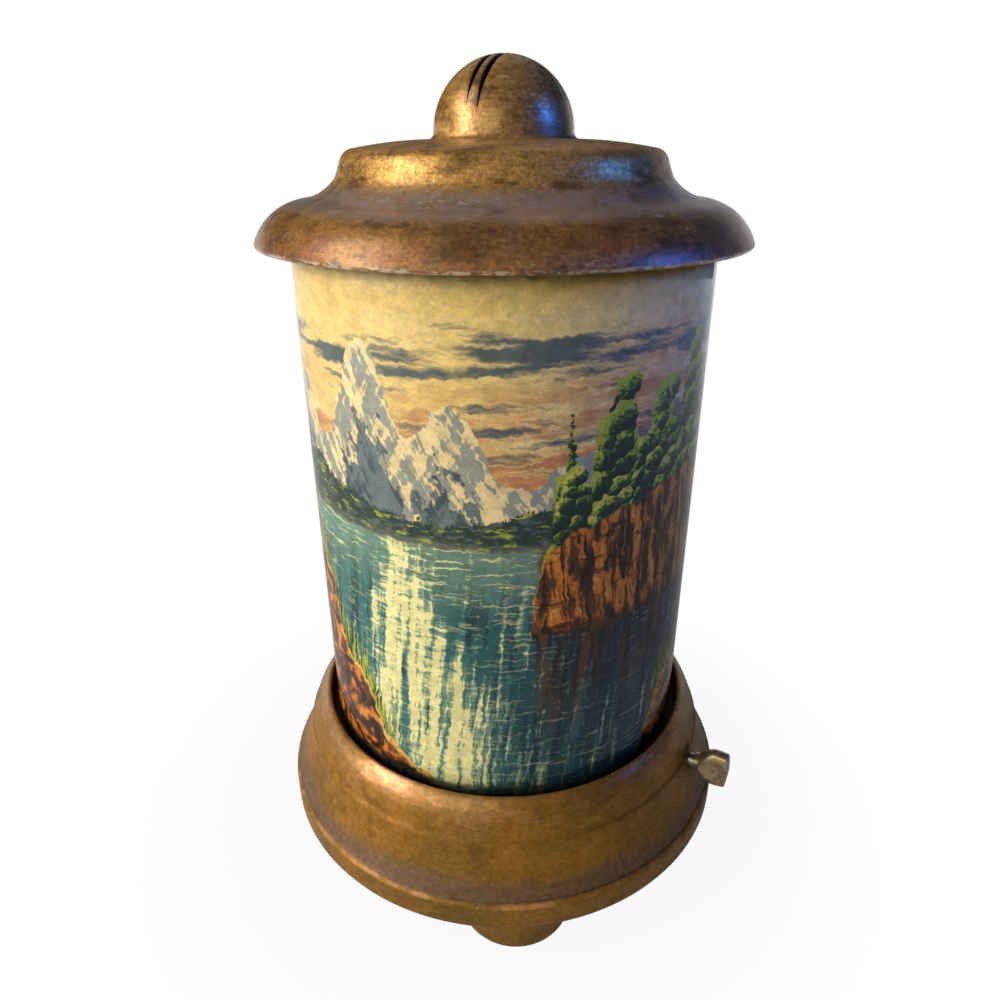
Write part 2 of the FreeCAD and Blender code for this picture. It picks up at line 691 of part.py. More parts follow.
# ---- Glass --------------------------------------------------------------------
def glass_cylinder():
    """Clear glass cylinder with fire-polished edges."""
    edge = GLASS_WALL * 0.25
    middle = (GLASS_R + glass_in_r) / 2
    half = GLASS_WALL / 2 - edge
    return revolved(
        (middle - half, ledge_z),
        (middle + half, ledge_z),
        (GLASS_R, ledge_z + edge),
        (GLASS_R, glass_top - edge),
        (middle + half, glass_top),
        (middle - half, glass_top),
        (glass_in_r, glass_top - edge),
        (glass_in_r, ledge_z + edge),
    )


def picture_sleeve():
    """Printed translucent sheet, rolled inside the glass and standing on the same ledge."""
    return tube(sleeve_r, sleeve_r - SLEEVE_WALL, ledge_z, GLASS_H - 0.5)


# ---- Cap ----------------------------------------------------------------------
def dome_slot(drop):
    """Wedge that cuts one vent slot: full width at the apex, a point at its lower end."""
    half = SLOT_W / 2
    top = apex_z + 1
    wedge = Part.Face(Part.makePolygon([
        Vector(SLOT_START_R, -half, top), Vector(SLOT_START_R, half, top),
        Vector(SLOT_START_R, half, apex_z - drop * 0.35), Vector(SLOT_START_R, 0, apex_z - drop),
        Vector(SLOT_START_R, -half, apex_z - drop * 0.35), Vector(SLOT_START_R, -half, top),
    ]))
    return wedge.extrude(Vector(DOME_R + 5, 0, 0))


def cap_casting():
    """Turned-look cap: rounded brim, cove, drum and dome, hollow, with vent slots."""
    wall = CAP_WALL
    brim_in_r = GLASS_R + CAP_PLAY
    brim_mid = ((BRIM_R + BRIM_TOP_R) / 2 + 3.1, brim_z + BRIM_H / 2 + 0.3)
    cove_mid = ((BRIM_TOP_R + SHOULDER_R) / 2 - 1.6, shoulder_z + SHOULDER_H * 0.38)
    corner_mid = ((DRUM_SIDE_R + DRUM_TOP_R) / 2 + 0.75, drum_top - 1.15)
    crown_mid = ((DRUM_TOP_R + DOME_R + DOME_FLARE) / 2, drum_top + DRUM_CROWN * 0.7)
    sphere_mid = DOME_R * math.sqrt(0.5)
    inner_dome = DOME_R - wall
    inner_mid = inner_dome * math.sqrt(0.5)
    seat_in_r = glass_in_r - SEAT_REACH
    cap = revolved(
        (brim_in_r, brim_z),
        (BRIM_R - BRIM_EDGE, brim_z),
        ((BRIM_R - BRIM_EDGE * 0.3, brim_z + BRIM_EDGE * 0.3), (BRIM_R, brim_z + BRIM_EDGE)),
        (brim_mid, (BRIM_TOP_R, shoulder_z)),
        (cove_mid, (SHOULDER_R, drum_z)),
        (DRUM_SIDE_R, drum_top - DRUM_H * 0.42),
        (corner_mid, (DRUM_TOP_R, drum_top)),
        (crown_mid, (DOME_R + DOME_FLARE, crown_z)),
        ((DOME_R + DOME_FLARE * 0.3, crown_z + DOME_RAISE * 0.4), (DOME_R, dome_z)),
        ((sphere_mid, dome_z + sphere_mid), (0, apex_z)),
        (0, apex_z - wall),
        ((inner_mid, dome_z + inner_mid), (inner_dome, dome_z)),
        (inner_dome, crown_z - wall),
        (DRUM_TOP_R - 1, drum_top - wall),
        (SHOULDER_R - wall, drum_z),
        (BRIM_TOP_R - wall * 2.4, shoulder_z - wall * 0.3),
        (seat_in_r, glass_top + 0.8),
        (seat_in_r, glass_top),
        (brim_in_r, glass_top),
    )
    creases = [(COVE_EASE, SHOULDER_R, drum_z), (BRIM_EASE, BRIM_TOP_R, shoulder_z)]
    for ease, crease_r, crease_z in creases:
        ring = [e for e in cap.Edges if abs(e.BoundBox.XMax - crease_r) < 0.01
                and abs(e.BoundBox.Center.z - crease_z) < 0.01 and e.BoundBox.ZLength < 0.01]
        cap = cap.makeFillet(ease, ring)
    slots = []
    for angle in SLOT_PAIR_ANGLES:
        for offset, drop in ((-SLOT_PITCH / 2, SLOT_DROP - SLOT_SHORT), (SLOT_PITCH / 2, SLOT_DROP)):
            slot = dome_slot(drop)
            slot.translate(Vector(0, offset, 0))
            slots.append(turned(slot, angle))
    return cap.cut(slots).removeSplitter()


# ---- Rotor --------------------------------------------------------------------
def fan_vane():
    """One blade, narrow at the hub and wide at the hoop, tilted about its own length."""
    inner = HUB_R - 1.5
    outer = ROTOR_R - HOOP_T / 2
    blade = Part.Face(Part.makePolygon([
        Vector(inner, -VANE_ROOT_W / 2, 0), Vector(outer, -VANE_TIP_W / 2, 0),
        Vector(outer, VANE_TIP_W / 2, 0), Vector(inner, VANE_ROOT_W / 2, 0),
        Vector(inner, -VANE_ROOT_W / 2, 0),
    ])).extrude(UP * VANE_T)
    blade.translate(Vector(0, 0, -VANE_T / 2))
    blade.rotate(ORIGIN, Vector(1, 0, 0), VANE_PITCH_DEG)
    return blade


def rotor_fan():
    """Light pressed fan: a ring of tilted vanes between a coned hub and a hoop."""
    vanes = around(fan_vane(), VANE_COUNT, 0)
    hoop = tube(ROTOR_R, ROTOR_R - HOOP_T, -HOOP_H / 2, HOOP_H)
    hub = revolved(
        (CUP_R, HUB_RISE - VANE_T),
        (CUP_FLANGE_R, HUB_RISE - VANE_T),
        (HUB_R, -VANE_T * 2),
        (HUB_R, VANE_T),
        (CUP_FLANGE_R + 0.5, HUB_RISE),
        (CUP_R, HUB_RISE),
    )
    disc = hoop.fuse([hub] + vanes)
    envelope = Part.makeCylinder(ROTOR_R, HOOP_H, Vector(0, 0, -HOOP_H / 2))
    bore = Part.makeCylinder(CUP_R, HOOP_H * 2, Vector(0, 0, -HOOP_H))
    fan = disc.common(envelope).cut(bore)
    fan.translate(Vector(0, 0, fan_z))
    return fan.removeSplitter()


def rotor_cup():
    """Glass-hard cup that hangs the fan on the needle: flanged, with a conical recess."""
    mouth_z = cup_top - CUP_H
    return revolved(
        (CUP_MOUTH_R, mouth_z),
        (CUP_R, mouth_z),
        (CUP_R, hub_z),
        (CUP_FLANGE_R, hub_z),
        (CUP_FLANGE_R, cup_top),
        (0, cup_top),
        (0, needle_tip + LIFT),
        (CUP_SEAT_R, needle_tip + LIFT),
        (CUP_MOUTH_R * 0.8, mouth_z + CUP_H * 0.35),
    )


def rotor_film():
    """Translucent animation sheet, rolled and glued round the fan's hoop."""
    return tube(ROTOR_R + FILM_GLUE + FILM_T, ROTOR_R + FILM_GLUE, film_z, FILM_DROP + HOOP_H)


def rotor_bead():
    """Wire bead inside the film's lower edge that keeps it round."""
    return Part.makeTorus(ROTOR_R + FILM_GLUE - BEAD_R, BEAD_R, Vector(0, 0, film_z + BEAD_R))


NODES = [
    base_casting, cord_bushing,
    socket_nipple, nipple_locknut, socket_cap, socket_shell, socket_liner, socket_body,
    terminal_screws, screw_shell, centre_contact,
    bulb_base, bulb_glass, bulb_stem, bulb_filament,
    pivot_bracket, bracket_screw, pivot_needle,
    switch_key, switch_shaft, switch_cam,
    glass_cylinder, picture_sleeve,
    cap_casting,
    rotor_fan, rotor_cup, rotor_film, rotor_bead,
]

os.makedirs("parts", exist_ok=True)
for make in NODES:
    shape = make()
    shape.exportStep("parts/" + make.__name__ + ".step")
    box = shape.BoundBox
    print(f"{make.__name__:16s} solids {len(shape.Solids)} valid {shape.isValid()} "
          f"volume {shape.Volume:10.1f} z {box.ZMin:7.2f} to {box.ZMax:7.2f}")
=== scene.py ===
"""Looks of a rotating motion lamp: a cast, bronze-painted base and vented cap, a glass cylinder
round a painted picture, and the lamp socket, bulb and turning shade inside it."""

import bmesh
import bpy
import math
from mathutils import Matrix, Vector


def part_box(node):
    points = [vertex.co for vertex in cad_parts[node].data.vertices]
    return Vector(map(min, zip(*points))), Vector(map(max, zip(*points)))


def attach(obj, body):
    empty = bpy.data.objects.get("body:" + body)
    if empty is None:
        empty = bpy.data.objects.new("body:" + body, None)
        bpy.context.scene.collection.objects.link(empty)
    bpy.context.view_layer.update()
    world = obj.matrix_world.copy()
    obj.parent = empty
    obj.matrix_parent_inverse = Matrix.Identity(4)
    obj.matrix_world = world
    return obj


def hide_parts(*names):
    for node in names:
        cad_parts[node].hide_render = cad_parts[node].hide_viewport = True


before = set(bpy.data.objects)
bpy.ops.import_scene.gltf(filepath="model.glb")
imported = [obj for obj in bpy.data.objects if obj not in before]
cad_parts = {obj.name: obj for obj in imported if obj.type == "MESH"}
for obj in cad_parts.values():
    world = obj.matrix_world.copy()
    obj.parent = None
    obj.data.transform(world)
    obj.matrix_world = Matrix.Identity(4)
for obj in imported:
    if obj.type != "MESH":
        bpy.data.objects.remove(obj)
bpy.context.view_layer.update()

# ---- Where the lamp is seen from ------------------------------------------------
# A plain lens close in front of the lamp and about as high as the dome of its cap, looking down
# at the glass, so that the base's rim opens into an ellipse and the dome is met side-on.
LENS_MM = 27.59
SENSOR_MM = 36.0
EYE = Vector((-0.01471, -0.24044, 0.2305))
LOOK_DOWN = math.radians(24.82)
LOOK_ASIDE = math.radians(3.18)
ROLL = math.radians(0.13)

lens = bpy.data.cameras.new("lens")
lens.lens = LENS_MM
lens.sensor_width = SENSOR_MM
lens.clip_start = 0.01
eye = bpy.data.objects.new("eye", lens)
eye.matrix_world = (Matrix.Translation(EYE)
                    @ Matrix.Rotation(-LOOK_ASIDE, 4, "Z")
                    @ Matrix.Rotation(math.radians(90) - LOOK_DOWN, 4, "X")
                    @ Matrix.Rotation(-ROLL, 4, "Z"))
bpy.context.scene.collection.objects.link(eye)
bpy.context.scene.camera = eye

# ---- Floor, air and lamps -------------------------------------------------------
# A white sweep that keeps a soft shadow under the lamp, lit by two windows on the left, the room
# round it, and a slit and a patch of blue sky on the right. Dark cloths, out of sight, hang to the
# floor round the front and right, and higher up all round and overhead, so that the paint stays deep.
FLOOR_HALF = 6.0
FLOOR_PAPER = (0.50, 0.49, 0.48, 1)
WHITE = (1, 1, 1, 1)
AIR = (0.95, 0.96, 1.0, 1)
AIR_LEVEL = 0.30
SHADOW_KEPT = 0.07        # share of the shadow that the eye sees under the lamp
SHADOW_IN_GLOSS = 0.80    # and that the paint reflects
SHADOW_R = 0.080
SHADOW_END_R = 0.16
GLOSS_END_R = 1.10
CLOTH_DARK = (0.030, 0.028, 0.027, 1)
CLOTH_R = 1.35
CLOTH_H = 1.1
CLOTH_CROWN_SHARE = 0.6
CLOTH_CROWN_H = 1.5
CLOTH_STEPS = 24
CLOTH_MERGE = 1e-5
CLOTHS = (
    # name, from, turned by, height of its hem
    ("dark_cloth", math.radians(-135), math.radians(185), 0.0),
    ("dark_curtain", math.radians(50), math.radians(175), 0.34),
)
LAMPS = (
    # name, place, size, watts, spread, aimed at, colour
    ("left_window", (-0.80, -0.33, 0.42), (0.30, 0.44), 5.6, 180, (0, 0, 0.15), (1.0, 0.94, 0.88)),
    ("high_window", (-0.74, -0.10, 0.80), (0.50, 0.44), 3.8, 180, (0, 0, 0.15), (1.0, 0.96, 0.92)),
    ("room", (-0.50, -0.85, 0.55), (0.60, 0.50), 3.1, 180, (0, 0, 0.15), (1.0, 0.97, 0.66)),
    ("blue_sky", (0.60, -0.19, 0.48), (0.18, 0.28), 0.15, 26, (0, 0, 0.25), (0.02, 0.15, 1.0)),
    ("rear_room", (-0.10, 0.90, 0.95), (0.90, 0.60), 0.5, 180, (0, 0, 0.15), (0.96, 0.97, 1.0)),
    ("slit", (0.45, 0.027, 0.081), (0.008, 0.11), 0.006, 180, (0, 0, 0.081), (1.0, 1.0, 1.0)),
    ("right_room", (0.62, 0.80, 0.36), (0.60, 0.40), 0.45, 180, (0, 0, 0.13), (1.0, 0.97, 0.92)),
)


def node(tree, kind, inputs=None, **settings):
    """One node of a finish: its settings, then its sockets set to a value or joined to another node."""
    made = tree.nodes.new("ShaderNode" + kind)
    for name, value in settings.items():
        setattr(made, name, value)
    for name, value in (inputs or {}).items():
        if isinstance(value, bpy.types.NodeSocket):
            tree.links.new(value, made.inputs[name])
        else:
            made.inputs[name].default_value = value
    return made


def sees_backdrop(tree):
    """1 for rays from the eye, off gloss or through glass, and 0 for light on the object."""
    path = node(tree, "LightPath")
    seen = node(tree, "Math", {0: path.outputs["Is Camera Ray"], 1: path.outputs["Is Glossy Ray"]},
                operation="MAXIMUM").outputs[0]
    return node(tree, "Math", {0: seen, 1: path.outputs["Is Transmission Ray"]},
                operation="MAXIMUM").outputs[0]


bpy.context.scene.view_settings.view_transform = "Standard"
air = bpy.data.worlds.new("air")
air.use_nodes = True
air.node_tree.nodes.clear()
backdrop = node(air.node_tree, "Background", {"Color": WHITE, "Strength": 1.0})
daylight = node(air.node_tree, "Background", {"Color": AIR, "Strength": AIR_LEVEL})
air_seen = node(air.node_tree, "MixShader", {0: sees_backdrop(air.node_tree), 1: daylight.outputs[0],
                                             2: backdrop.outputs[0]})
node(air.node_tree, "OutputWorld", {"Surface": air_seen.outputs[0]})
bpy.context.scene.world = air

sheet = bmesh.new()
bmesh.ops.create_grid(sheet, x_segments=1, y_segments=1, size=FLOOR_HALF)
floor_mesh = bpy.data.meshes.new("floor")
sheet.to_mesh(floor_mesh)
sheet.free()
floor = bpy.data.objects.new("floor", floor_mesh)
bpy.context.scene.collection.objects.link(floor)
floor_white = bpy.data.materials.new("floor_white")
floor_white.use_nodes = True
tree = floor_white.node_tree
tree.nodes.clear()
paper = node(tree, "BsdfDiffuse", {"Color": FLOOR_PAPER})
glow = node(tree, "Emission", {"Color": WHITE, "Strength": 1.0})
away = node(tree, "VectorMath", {0: node(tree, "TexCoord").outputs["Object"]},
            operation="LENGTH").outputs["Value"]
in_gloss = node(tree, "LightPath").outputs["Is Glossy Ray"]
reach = node(tree, "Math", {0: in_gloss, 1: GLOSS_END_R - SHADOW_END_R, 2: SHADOW_END_R},
             operation="MULTIPLY_ADD")
least = node(tree, "Math", {0: in_gloss, 1: SHADOW_KEPT - SHADOW_IN_GLOSS, 2: 1 - SHADOW_KEPT},
             operation="MULTIPLY_ADD")
even = node(tree, "MapRange", {"Value": away, "From Min": SHADOW_R, "From Max": reach.outputs[0],
                               "To Min": least.outputs[0], "To Max": 1.0}, interpolation_type="SMOOTHSTEP")
even = node(tree, "Math", {0: sees_backdrop(tree), 1: even.outputs[0]}, operation="MULTIPLY")
sweep = node(tree, "MixShader", {0: even.outputs[0], 1: paper.outputs[0], 2: glow.outputs[0]})
node(tree, "OutputMaterial", {"Surface": sweep.outputs[0]})
floor_mesh.materials.append(floor_white)

cloth_dark = bpy.data.materials.new("cloth_dark")
cloth_dark.use_nodes = True
cloth_dark.node_tree.nodes.clear()
cloth_face = node(cloth_dark.node_tree, "BsdfDiffuse", {"Color": CLOTH_DARK})
node(cloth_dark.node_tree, "OutputMaterial", {"Surface": cloth_face.outputs[0]})
for name, start, turn, hem in CLOTHS:
    strip = bmesh.new()
    out = Vector((CLOTH_R * math.cos(start), CLOTH_R * math.sin(start), 0))
    outline = ((1, hem), (1, CLOTH_H), (CLOTH_CROWN_SHARE, CLOTH_CROWN_H), (0, CLOTH_CROWN_H))
    hung = [strip.verts.new(out * share + Vector((0, 0, z))) for share, z in outline]
    for low, high in zip(hung, hung[1:]):
        strip.edges.new((low, high))
    bmesh.ops.spin(strip, geom=strip.verts[:] + strip.edges[:], cent=(0, 0, 0), axis=(0, 0, 1), angle=turn,
                   steps=CLOTH_STEPS)
    bmesh.ops.remove_doubles(strip, verts=strip.verts, dist=CLOTH_MERGE)
    cloth_mesh = bpy.data.meshes.new(name)
    strip.to_mesh(cloth_mesh)
    strip.free()
    cloth = bpy.data.objects.new(name, cloth_mesh)
    bpy.context.scene.collection.objects.link(cloth)
    cloth.visible_camera = False
    cloth_mesh.materials.append(cloth_dark)

for name, place, size, watts, spread, aim, colour in LAMPS:
    lamp = bpy.data.lights.new(name, "AREA")
    lamp.shape = "RECTANGLE"
    lamp.size, lamp.size_y = size
    lamp.energy = watts
    lamp.spread = math.radians(spread)
    lamp.color = colour
    stand = bpy.data.objects.new(name, lamp)
    back = Vector(place) - Vector(aim)
    stand.matrix_world = Matrix.Translation(place) @ back.to_track_quat("Z", "Y").to_matrix().to_4x4()
    bpy.context.scene.collection.objects.link(stand)


# ---- Base casting ---------------------------------------------------------------
# Cast metal with three feet, painted in brushed bronze. The paint is rubbed to a pinkish gold on
# the lip and chipped along it, and the hollow of the flare is darkened to a taupe that is part dust
# and part painted shade.
def finish_of(name):
    """A new finish: its material, its node tree and its Principled shader."""
    material = bpy.data.materials.new(name)
    material.use_nodes = True
    tree = material.node_tree
    return material, tree, tree.nodes["Principled BSDF"]


def fill(tree, shader, **sockets):
    """Sets or joins the shader's sockets, named with underscores for spaces."""
    for name, value in sockets.items():
        socket = shader.inputs[name.replace("_", " ")]
        if isinstance(value, bpy.types.NodeSocket):
            tree.links.new(value, socket)
        else:
            socket.default_value = value


def place_of(tree, stretch=(1, 1, 1)):
    """The point on the object in metres, drawn out along each axis."""
    spot = node(tree, "TexCoord").outputs["Object"]
    if stretch == (1, 1, 1):
        return spot
    return node(tree, "Mapping", {"Vector": spot, "Scale": stretch}).outputs[0]


def cloud(tree, spot, scale, detail=4.0, rough=0.55, bend=0.0):
    """Soft noise from 0 to 1, about 0.5 in the middle."""
    return node(tree, "TexNoise", {"Vector": spot, "Scale": scale, "Detail": detail,
                                   "Roughness": rough, "Distortion": bend}).outputs["Fac"]


def step(tree, value, start, end, low=0.0, high=1.0):
    """Runs smoothly from low at start to high at end."""
    return node(tree, "MapRange", {"Value": value, "From Min": start, "From Max": end,
                                   "To Min": low, "To Max": high}, interpolation_type="SMOOTHSTEP").outputs[0]


def maths(tree, operation, a, b=0.0):
    """One sum on two values."""
    return node(tree, "Math", {0: a, 1: b}, operation=operation).outputs[0]


def coat(tree, share, under, over, blend="MIX"):
    """The colour over laid on the colour under by a share from 0 to 1."""
    return node(tree, "Mix", {0: share, 6: under, 7: over}, data_type="RGBA", blend_type=blend).outputs[2]


def height_of(tree):
    """Height above the table."""
    return node(tree, "SeparateXYZ", {0: place_of(tree)}).outputs["Z"]


def chips(tree, spot, size, rarity):
    """Scattered small chips, fewer as their rarity grows: 1 in a chip, 0 elsewhere."""
    flake = cloud(tree, spot, 1.0 / size, 3.0, 0.6)
    return step(tree, flake, 0.5 + rarity, 0.5 + rarity + CHIP_EDGE)


def specks(tree, spot, size, radius):
    """Round dots of dust, each in its own cell."""
    dots = node(tree, "TexVoronoi", {"Vector": spot, "Scale": 1.0 / size}).outputs["Distance"]
    thin = cloud(tree, spot, 0.2 / size, 1.0)
    return maths(tree, "MULTIPLY", step(tree, dots, radius, radius * 0.6), step(tree, thin, 0.54, 0.6))


def cast_surface(tree, deep, dented, grained):
    """Bump of a hand-finished casting: slow waves, brush marks round it, dents and a fine grain."""
    waves = cloud(tree, place_of(tree), 70.0, 2.0)
    dents = cloud(tree, place_of(tree, (210, 210, 260)), 1.0, 3.0, 0.6)
    brush = cloud(tree, place_of(tree, (70, 70, 1500)), 1.0, 3.0)
    grain = cloud(tree, place_of(tree), 1300.0, 3.0)
    total = maths(tree, "ADD", waves, maths(tree, "MULTIPLY", brush, 0.10))
    total = maths(tree, "ADD", total, maths(tree, "MULTIPLY", dents, dented))
    total = maths(tree, "ADD", total, maths(tree, "MULTIPLY", grain, grained))
    worn_edges = node(tree, "Bevel", {"Radius": EDGE_WEAR}, samples=4).outputs[0]
    return node(tree, "Bump", {"Height": total, "Strength": 1.0, "Distance": deep,
                               "Normal": worn_edges}).outputs[0]


def toned(tree, colour, value, dark, light):
    """The colour made darker and lighter by a value from 0 to 1."""
    tone = step(tree, value, 0.3, 0.7, dark, light)
    grey = node(tree, "CombineColor", {0: tone, 1: tone, 2: tone}).outputs[0]
    return coat(tree, 1.0, colour, grey, "MULTIPLY")


def both(tree, a, b):
    """1 only where both shares are 1."""
    return maths(tree, "MULTIPLY", a, b)


def off_axis(tree):
    """Distance from the lamp's axis."""
    flat = node(tree, "VectorMath", {0: place_of(tree), 1: (1, 1, 0)}, operation="MULTIPLY").outputs[0]
    return node(tree, "VectorMath", {0: flat}, operation="LENGTH").outputs["Value"]


EDGE_WEAR = 0.0026        # radius to which the paint rounds the casting's edges
CHIP_EDGE = 0.03
BASE_OCHRE = (0.320, 0.145, 0.018, 1)
BASE_OLIVE = (0.205, 0.108, 0.016, 1)
BASE_BROWN = (0.130, 0.056, 0.014, 1)
BASE_RUN = (0.430, 0.215, 0.056, 1)
HOLLOW_DUST_AND_SHADE = (0.170, 0.098, 0.062, 1)
BASE_WORN = (0.36, 0.27, 0.19, 1)
BASE_RUBBED = (0.60, 0.30, 0.14, 1)
BARE_METAL = (0.72, 0.60, 0.44, 1)
DUST = (0.75, 0.70, 0.60, 1)
# Near-black: soot in the pits, and painted shade inside the base's collar and in the cap's slots.
SOOT_AND_PAINTED_SHADE = (0.030, 0.018, 0.010, 1)
GROOVE_Z = 0.0190
HOLLOW_TOP_Z = 0.0245
HOLLOW_SOFT = 0.0035
HOLLOW_WANDER = 0.007
LIP_Z = 0.0400
LIP_TOP_Z = 0.0489
COLLAR_IN_R = 0.0650
BASE_PIT = 0.0016
LIP_CHIP = 0.0020
BASE_DUST_PITCH = 0.0060
BASE_RELIEF = 0.00040

base_paint, tree, shader = finish_of("bronze_paint_base")
spot = place_of(tree)
z = height_of(tree)
colour = coat(tree, step(tree, cloud(tree, spot, 30.0, 4.0, 0.6), 0.38, 0.62), BASE_OLIVE, BASE_OCHRE)
stain = step(tree, cloud(tree, place_of(tree, (60, 60, 38)), 1.0, 6.0, 0.68, 0.4), 0.50, 0.70, 0.0, 0.66)
colour = coat(tree, stain, colour, BASE_BROWN)
runs = step(tree, cloud(tree, place_of(tree, (95, 95, 150)), 1.0, 6.0, 0.66), 0.52, 0.70, 0.0, 0.50)
colour = coat(tree, runs, colour, BASE_RUN)
# The hollow of the flare above the groove, darkened to taupe: part dust, part painted shade.
wander = maths(tree, "SUBTRACT", cloud(tree, spot, 45.0, 3.0), 0.5)
wander = maths(tree, "MULTIPLY", wander, HOLLOW_WANDER)
dusty_shaded_hollow = step(tree, maths(tree, "ADD", z, wander), HOLLOW_TOP_Z + HOLLOW_SOFT, HOLLOW_TOP_Z - HOLLOW_SOFT)
dusty_shaded_hollow = both(tree, dusty_shaded_hollow, step(tree, z, GROOVE_Z - 0.0006, GROOVE_Z + 0.0002))
colour = coat(tree, maths(tree, "MULTIPLY", dusty_shaded_hollow, 0.90), colour, HOLLOW_DUST_AND_SHADE)
flecks = step(tree, cloud(tree, place_of(tree, (500, 500, 900)), 1.0, 5.0, 0.7), 0.58, 0.72, 0.0, 0.40)
colour = coat(tree, both(tree, dusty_shaded_hollow, flecks), colour, BASE_WORN)
band_edge = both(tree, step(tree, z, GROOVE_Z - 0.0016, GROOVE_Z - 0.0010),
                 step(tree, z, GROOVE_Z + 0.0001, GROOVE_Z - 0.0005))
band_edge = both(tree, band_edge, step(tree, cloud(tree, spot, 120.0, 4.0), 0.46, 0.62, 0.05, 0.60))
colour = coat(tree, band_edge, colour, BASE_RUBBED)
lip = step(tree, z, LIP_Z, LIP_TOP_Z - 0.001)
hands = step(tree, cloud(tree, place_of(tree, (70, 70, 220)), 1.0, 5.0, 0.65), 0.44, 0.66, 0.10, 0.75)
rubbed = both(tree, lip, hands)
colour = coat(tree, rubbed, colour, BASE_RUBBED)
colour = toned(tree, colour, cloud(tree, place_of(tree, (160, 160, 1300)), 1.0, 4.0, 0.6), 0.90, 1.10)
colour = toned(tree, colour, cloud(tree, spot, 620.0, 6.0, 0.75), 0.74, 1.26)
pits = both(tree, chips(tree, spot, BASE_PIT, 0.22), step(tree, cloud(tree, spot, 60.0, 2.0), 0.46, 0.60))
colour = coat(tree, maths(tree, "MULTIPLY", pits, 0.7), colour, SOOT_AND_PAINTED_SHADE)
lip_chips = both(tree, chips(tree, spot, LIP_CHIP, 0.19),
                 step(tree, z, LIP_TOP_Z - 0.0030, LIP_TOP_Z - 0.0005))
colour = coat(tree, lip_chips, colour, BARE_METAL)
dust = maths(tree, "MULTIPLY", specks(tree, spot, BASE_DUST_PITCH, 0.06), 0.7)
colour = coat(tree, dust, colour, DUST)
# Painted shade: inside the collar's inner radius the paint is darkened.
painted_collar_shade = step(tree, off_axis(tree), COLLAR_IN_R + 0.0008, COLLAR_IN_R)
colour = coat(tree, maths(tree, "MULTIPLY", painted_collar_shade, 0.75), colour, SOOT_AND_PAINTED_SHADE)
gloss = step(tree, cloud(tree, spot, 260.0, 4.0), 0.3, 0.7, 0.34, 0.50)
gloss = maths(tree, "SUBTRACT", gloss, maths(tree, "MULTIPLY", lip, 0.10))
shine = maths(tree, "ADD", maths(tree, "MULTIPLY", rubbed, 0.40), 0.35)
polish = step(tree, lip, 0.0, 1.0, 0.04, 0.42)
dented = maths(tree, "ADD", maths(tree, "MULTIPLY", lip, 0.30), 0.08)
fill(tree, shader, Base_Color=colour, Roughness=gloss, Metallic=shine, Specular_IOR_Level=0.20,
     Coat_Weight=polish, Coat_Roughness=0.28, Coat_IOR=1.5,
     Normal=cast_surface(tree, BASE_RELIEF, dented, 0.12))
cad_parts["base_casting"].data.materials[0] = base_paint

# ---- Cord bushing ---------------------------------------------------------------
# A short bushing that lines the cord's hole, turned from black fibre and pressed into the rear of
# the band. The switch's cam inside the socket is made of the same fibre.
FIBRE_BLACK = (0.020, 0.019, 0.018, 1)
FIBRE_GREY = (0.055, 0.050, 0.045, 1)
FIBRE_RELIEF = 0.0001

black_fibre, tree, shader = finish_of("black_fibre")
threads = cloud(tree, place_of(tree), 900.0, 5.0, 0.7)
colour = coat(tree, step(tree, threads, 0.45, 0.75), FIBRE_BLACK, FIBRE_GREY)
relief = node(tree, "Bump", {"Height": threads, "Strength": 0.6, "Distance": FIBRE_RELIEF}).outputs[0]
fill(tree, shader, Base_Color=colour, Roughness=0.55, Normal=relief)
for name in ("cord_bushing", "switch_cam"):
    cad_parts[name].data.materials[0] = black_fibre

# ---- Switch key -----------------------------------------------------------------
# A flattened, fan-shaped turn key on the end of the switch's shaft. It is cast in brass and worn
# to dull grey metal in patches, with grime over it.
KEY_BRASS = (0.50, 0.35, 0.18, 1)
KEY_GREY = (0.40, 0.32, 0.26, 1)
KEY_GRIME = (0.060, 0.040, 0.026, 1)
KEY_RELIEF = 0.00009

key_metal, tree, shader = finish_of("worn_key_metal")
spot = place_of(tree)
greyed = step(tree, cloud(tree, spot, 260.0, 4.0, 0.6), 0.36, 0.64)
colour = coat(tree, greyed, KEY_BRASS, KEY_GREY)
grime = step(tree, cloud(tree, spot, 330.0, 6.0, 0.7), 0.44, 0.70, 0.0, 0.80)
colour = coat(tree, grime, colour, KEY_GRIME)
relief = node(tree, "Bump", {"Height": cloud(tree, spot, 600.0, 3.0), "Strength": 0.6,
                             "Distance": KEY_RELIEF}).outputs[0]
fill(tree, shader, Base_Color=colour, Metallic=0.75, Normal=relief,
     Roughness=step(tree, grime, 0.0, 1.0, 0.34, 0.56))
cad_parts["switch_key"].data.materials[0] = key_metal


# ---- Socket, nut and terminals --------------------------------------------------
# A keyed lamp socket: spun brass shell and cap, a liner of fibre board and a body of glazed
# porcelain. A threaded brass tube and a steel nut clamp it to the boss in the base.
BRASS_BRIGHT = (0.62, 0.43, 0.16, 1)
BRASS_DULL = (0.30, 0.18, 0.07, 1)
STEEL_BRIGHT = (0.42, 0.42, 0.42, 1)
STEEL_DULL = (0.17, 0.14, 0.12, 1)
BOARD_DARK = (0.17, 0.09, 0.05, 1)
BOARD_LIGHT = (0.30, 0.18, 0.10, 1)
PORCELAIN_WHITE = (0.80, 0.78, 0.72, 1)
PORCELAIN_STAINED = (0.66, 0.62, 0.54, 1)
METAL_RELIEF = 0.00008


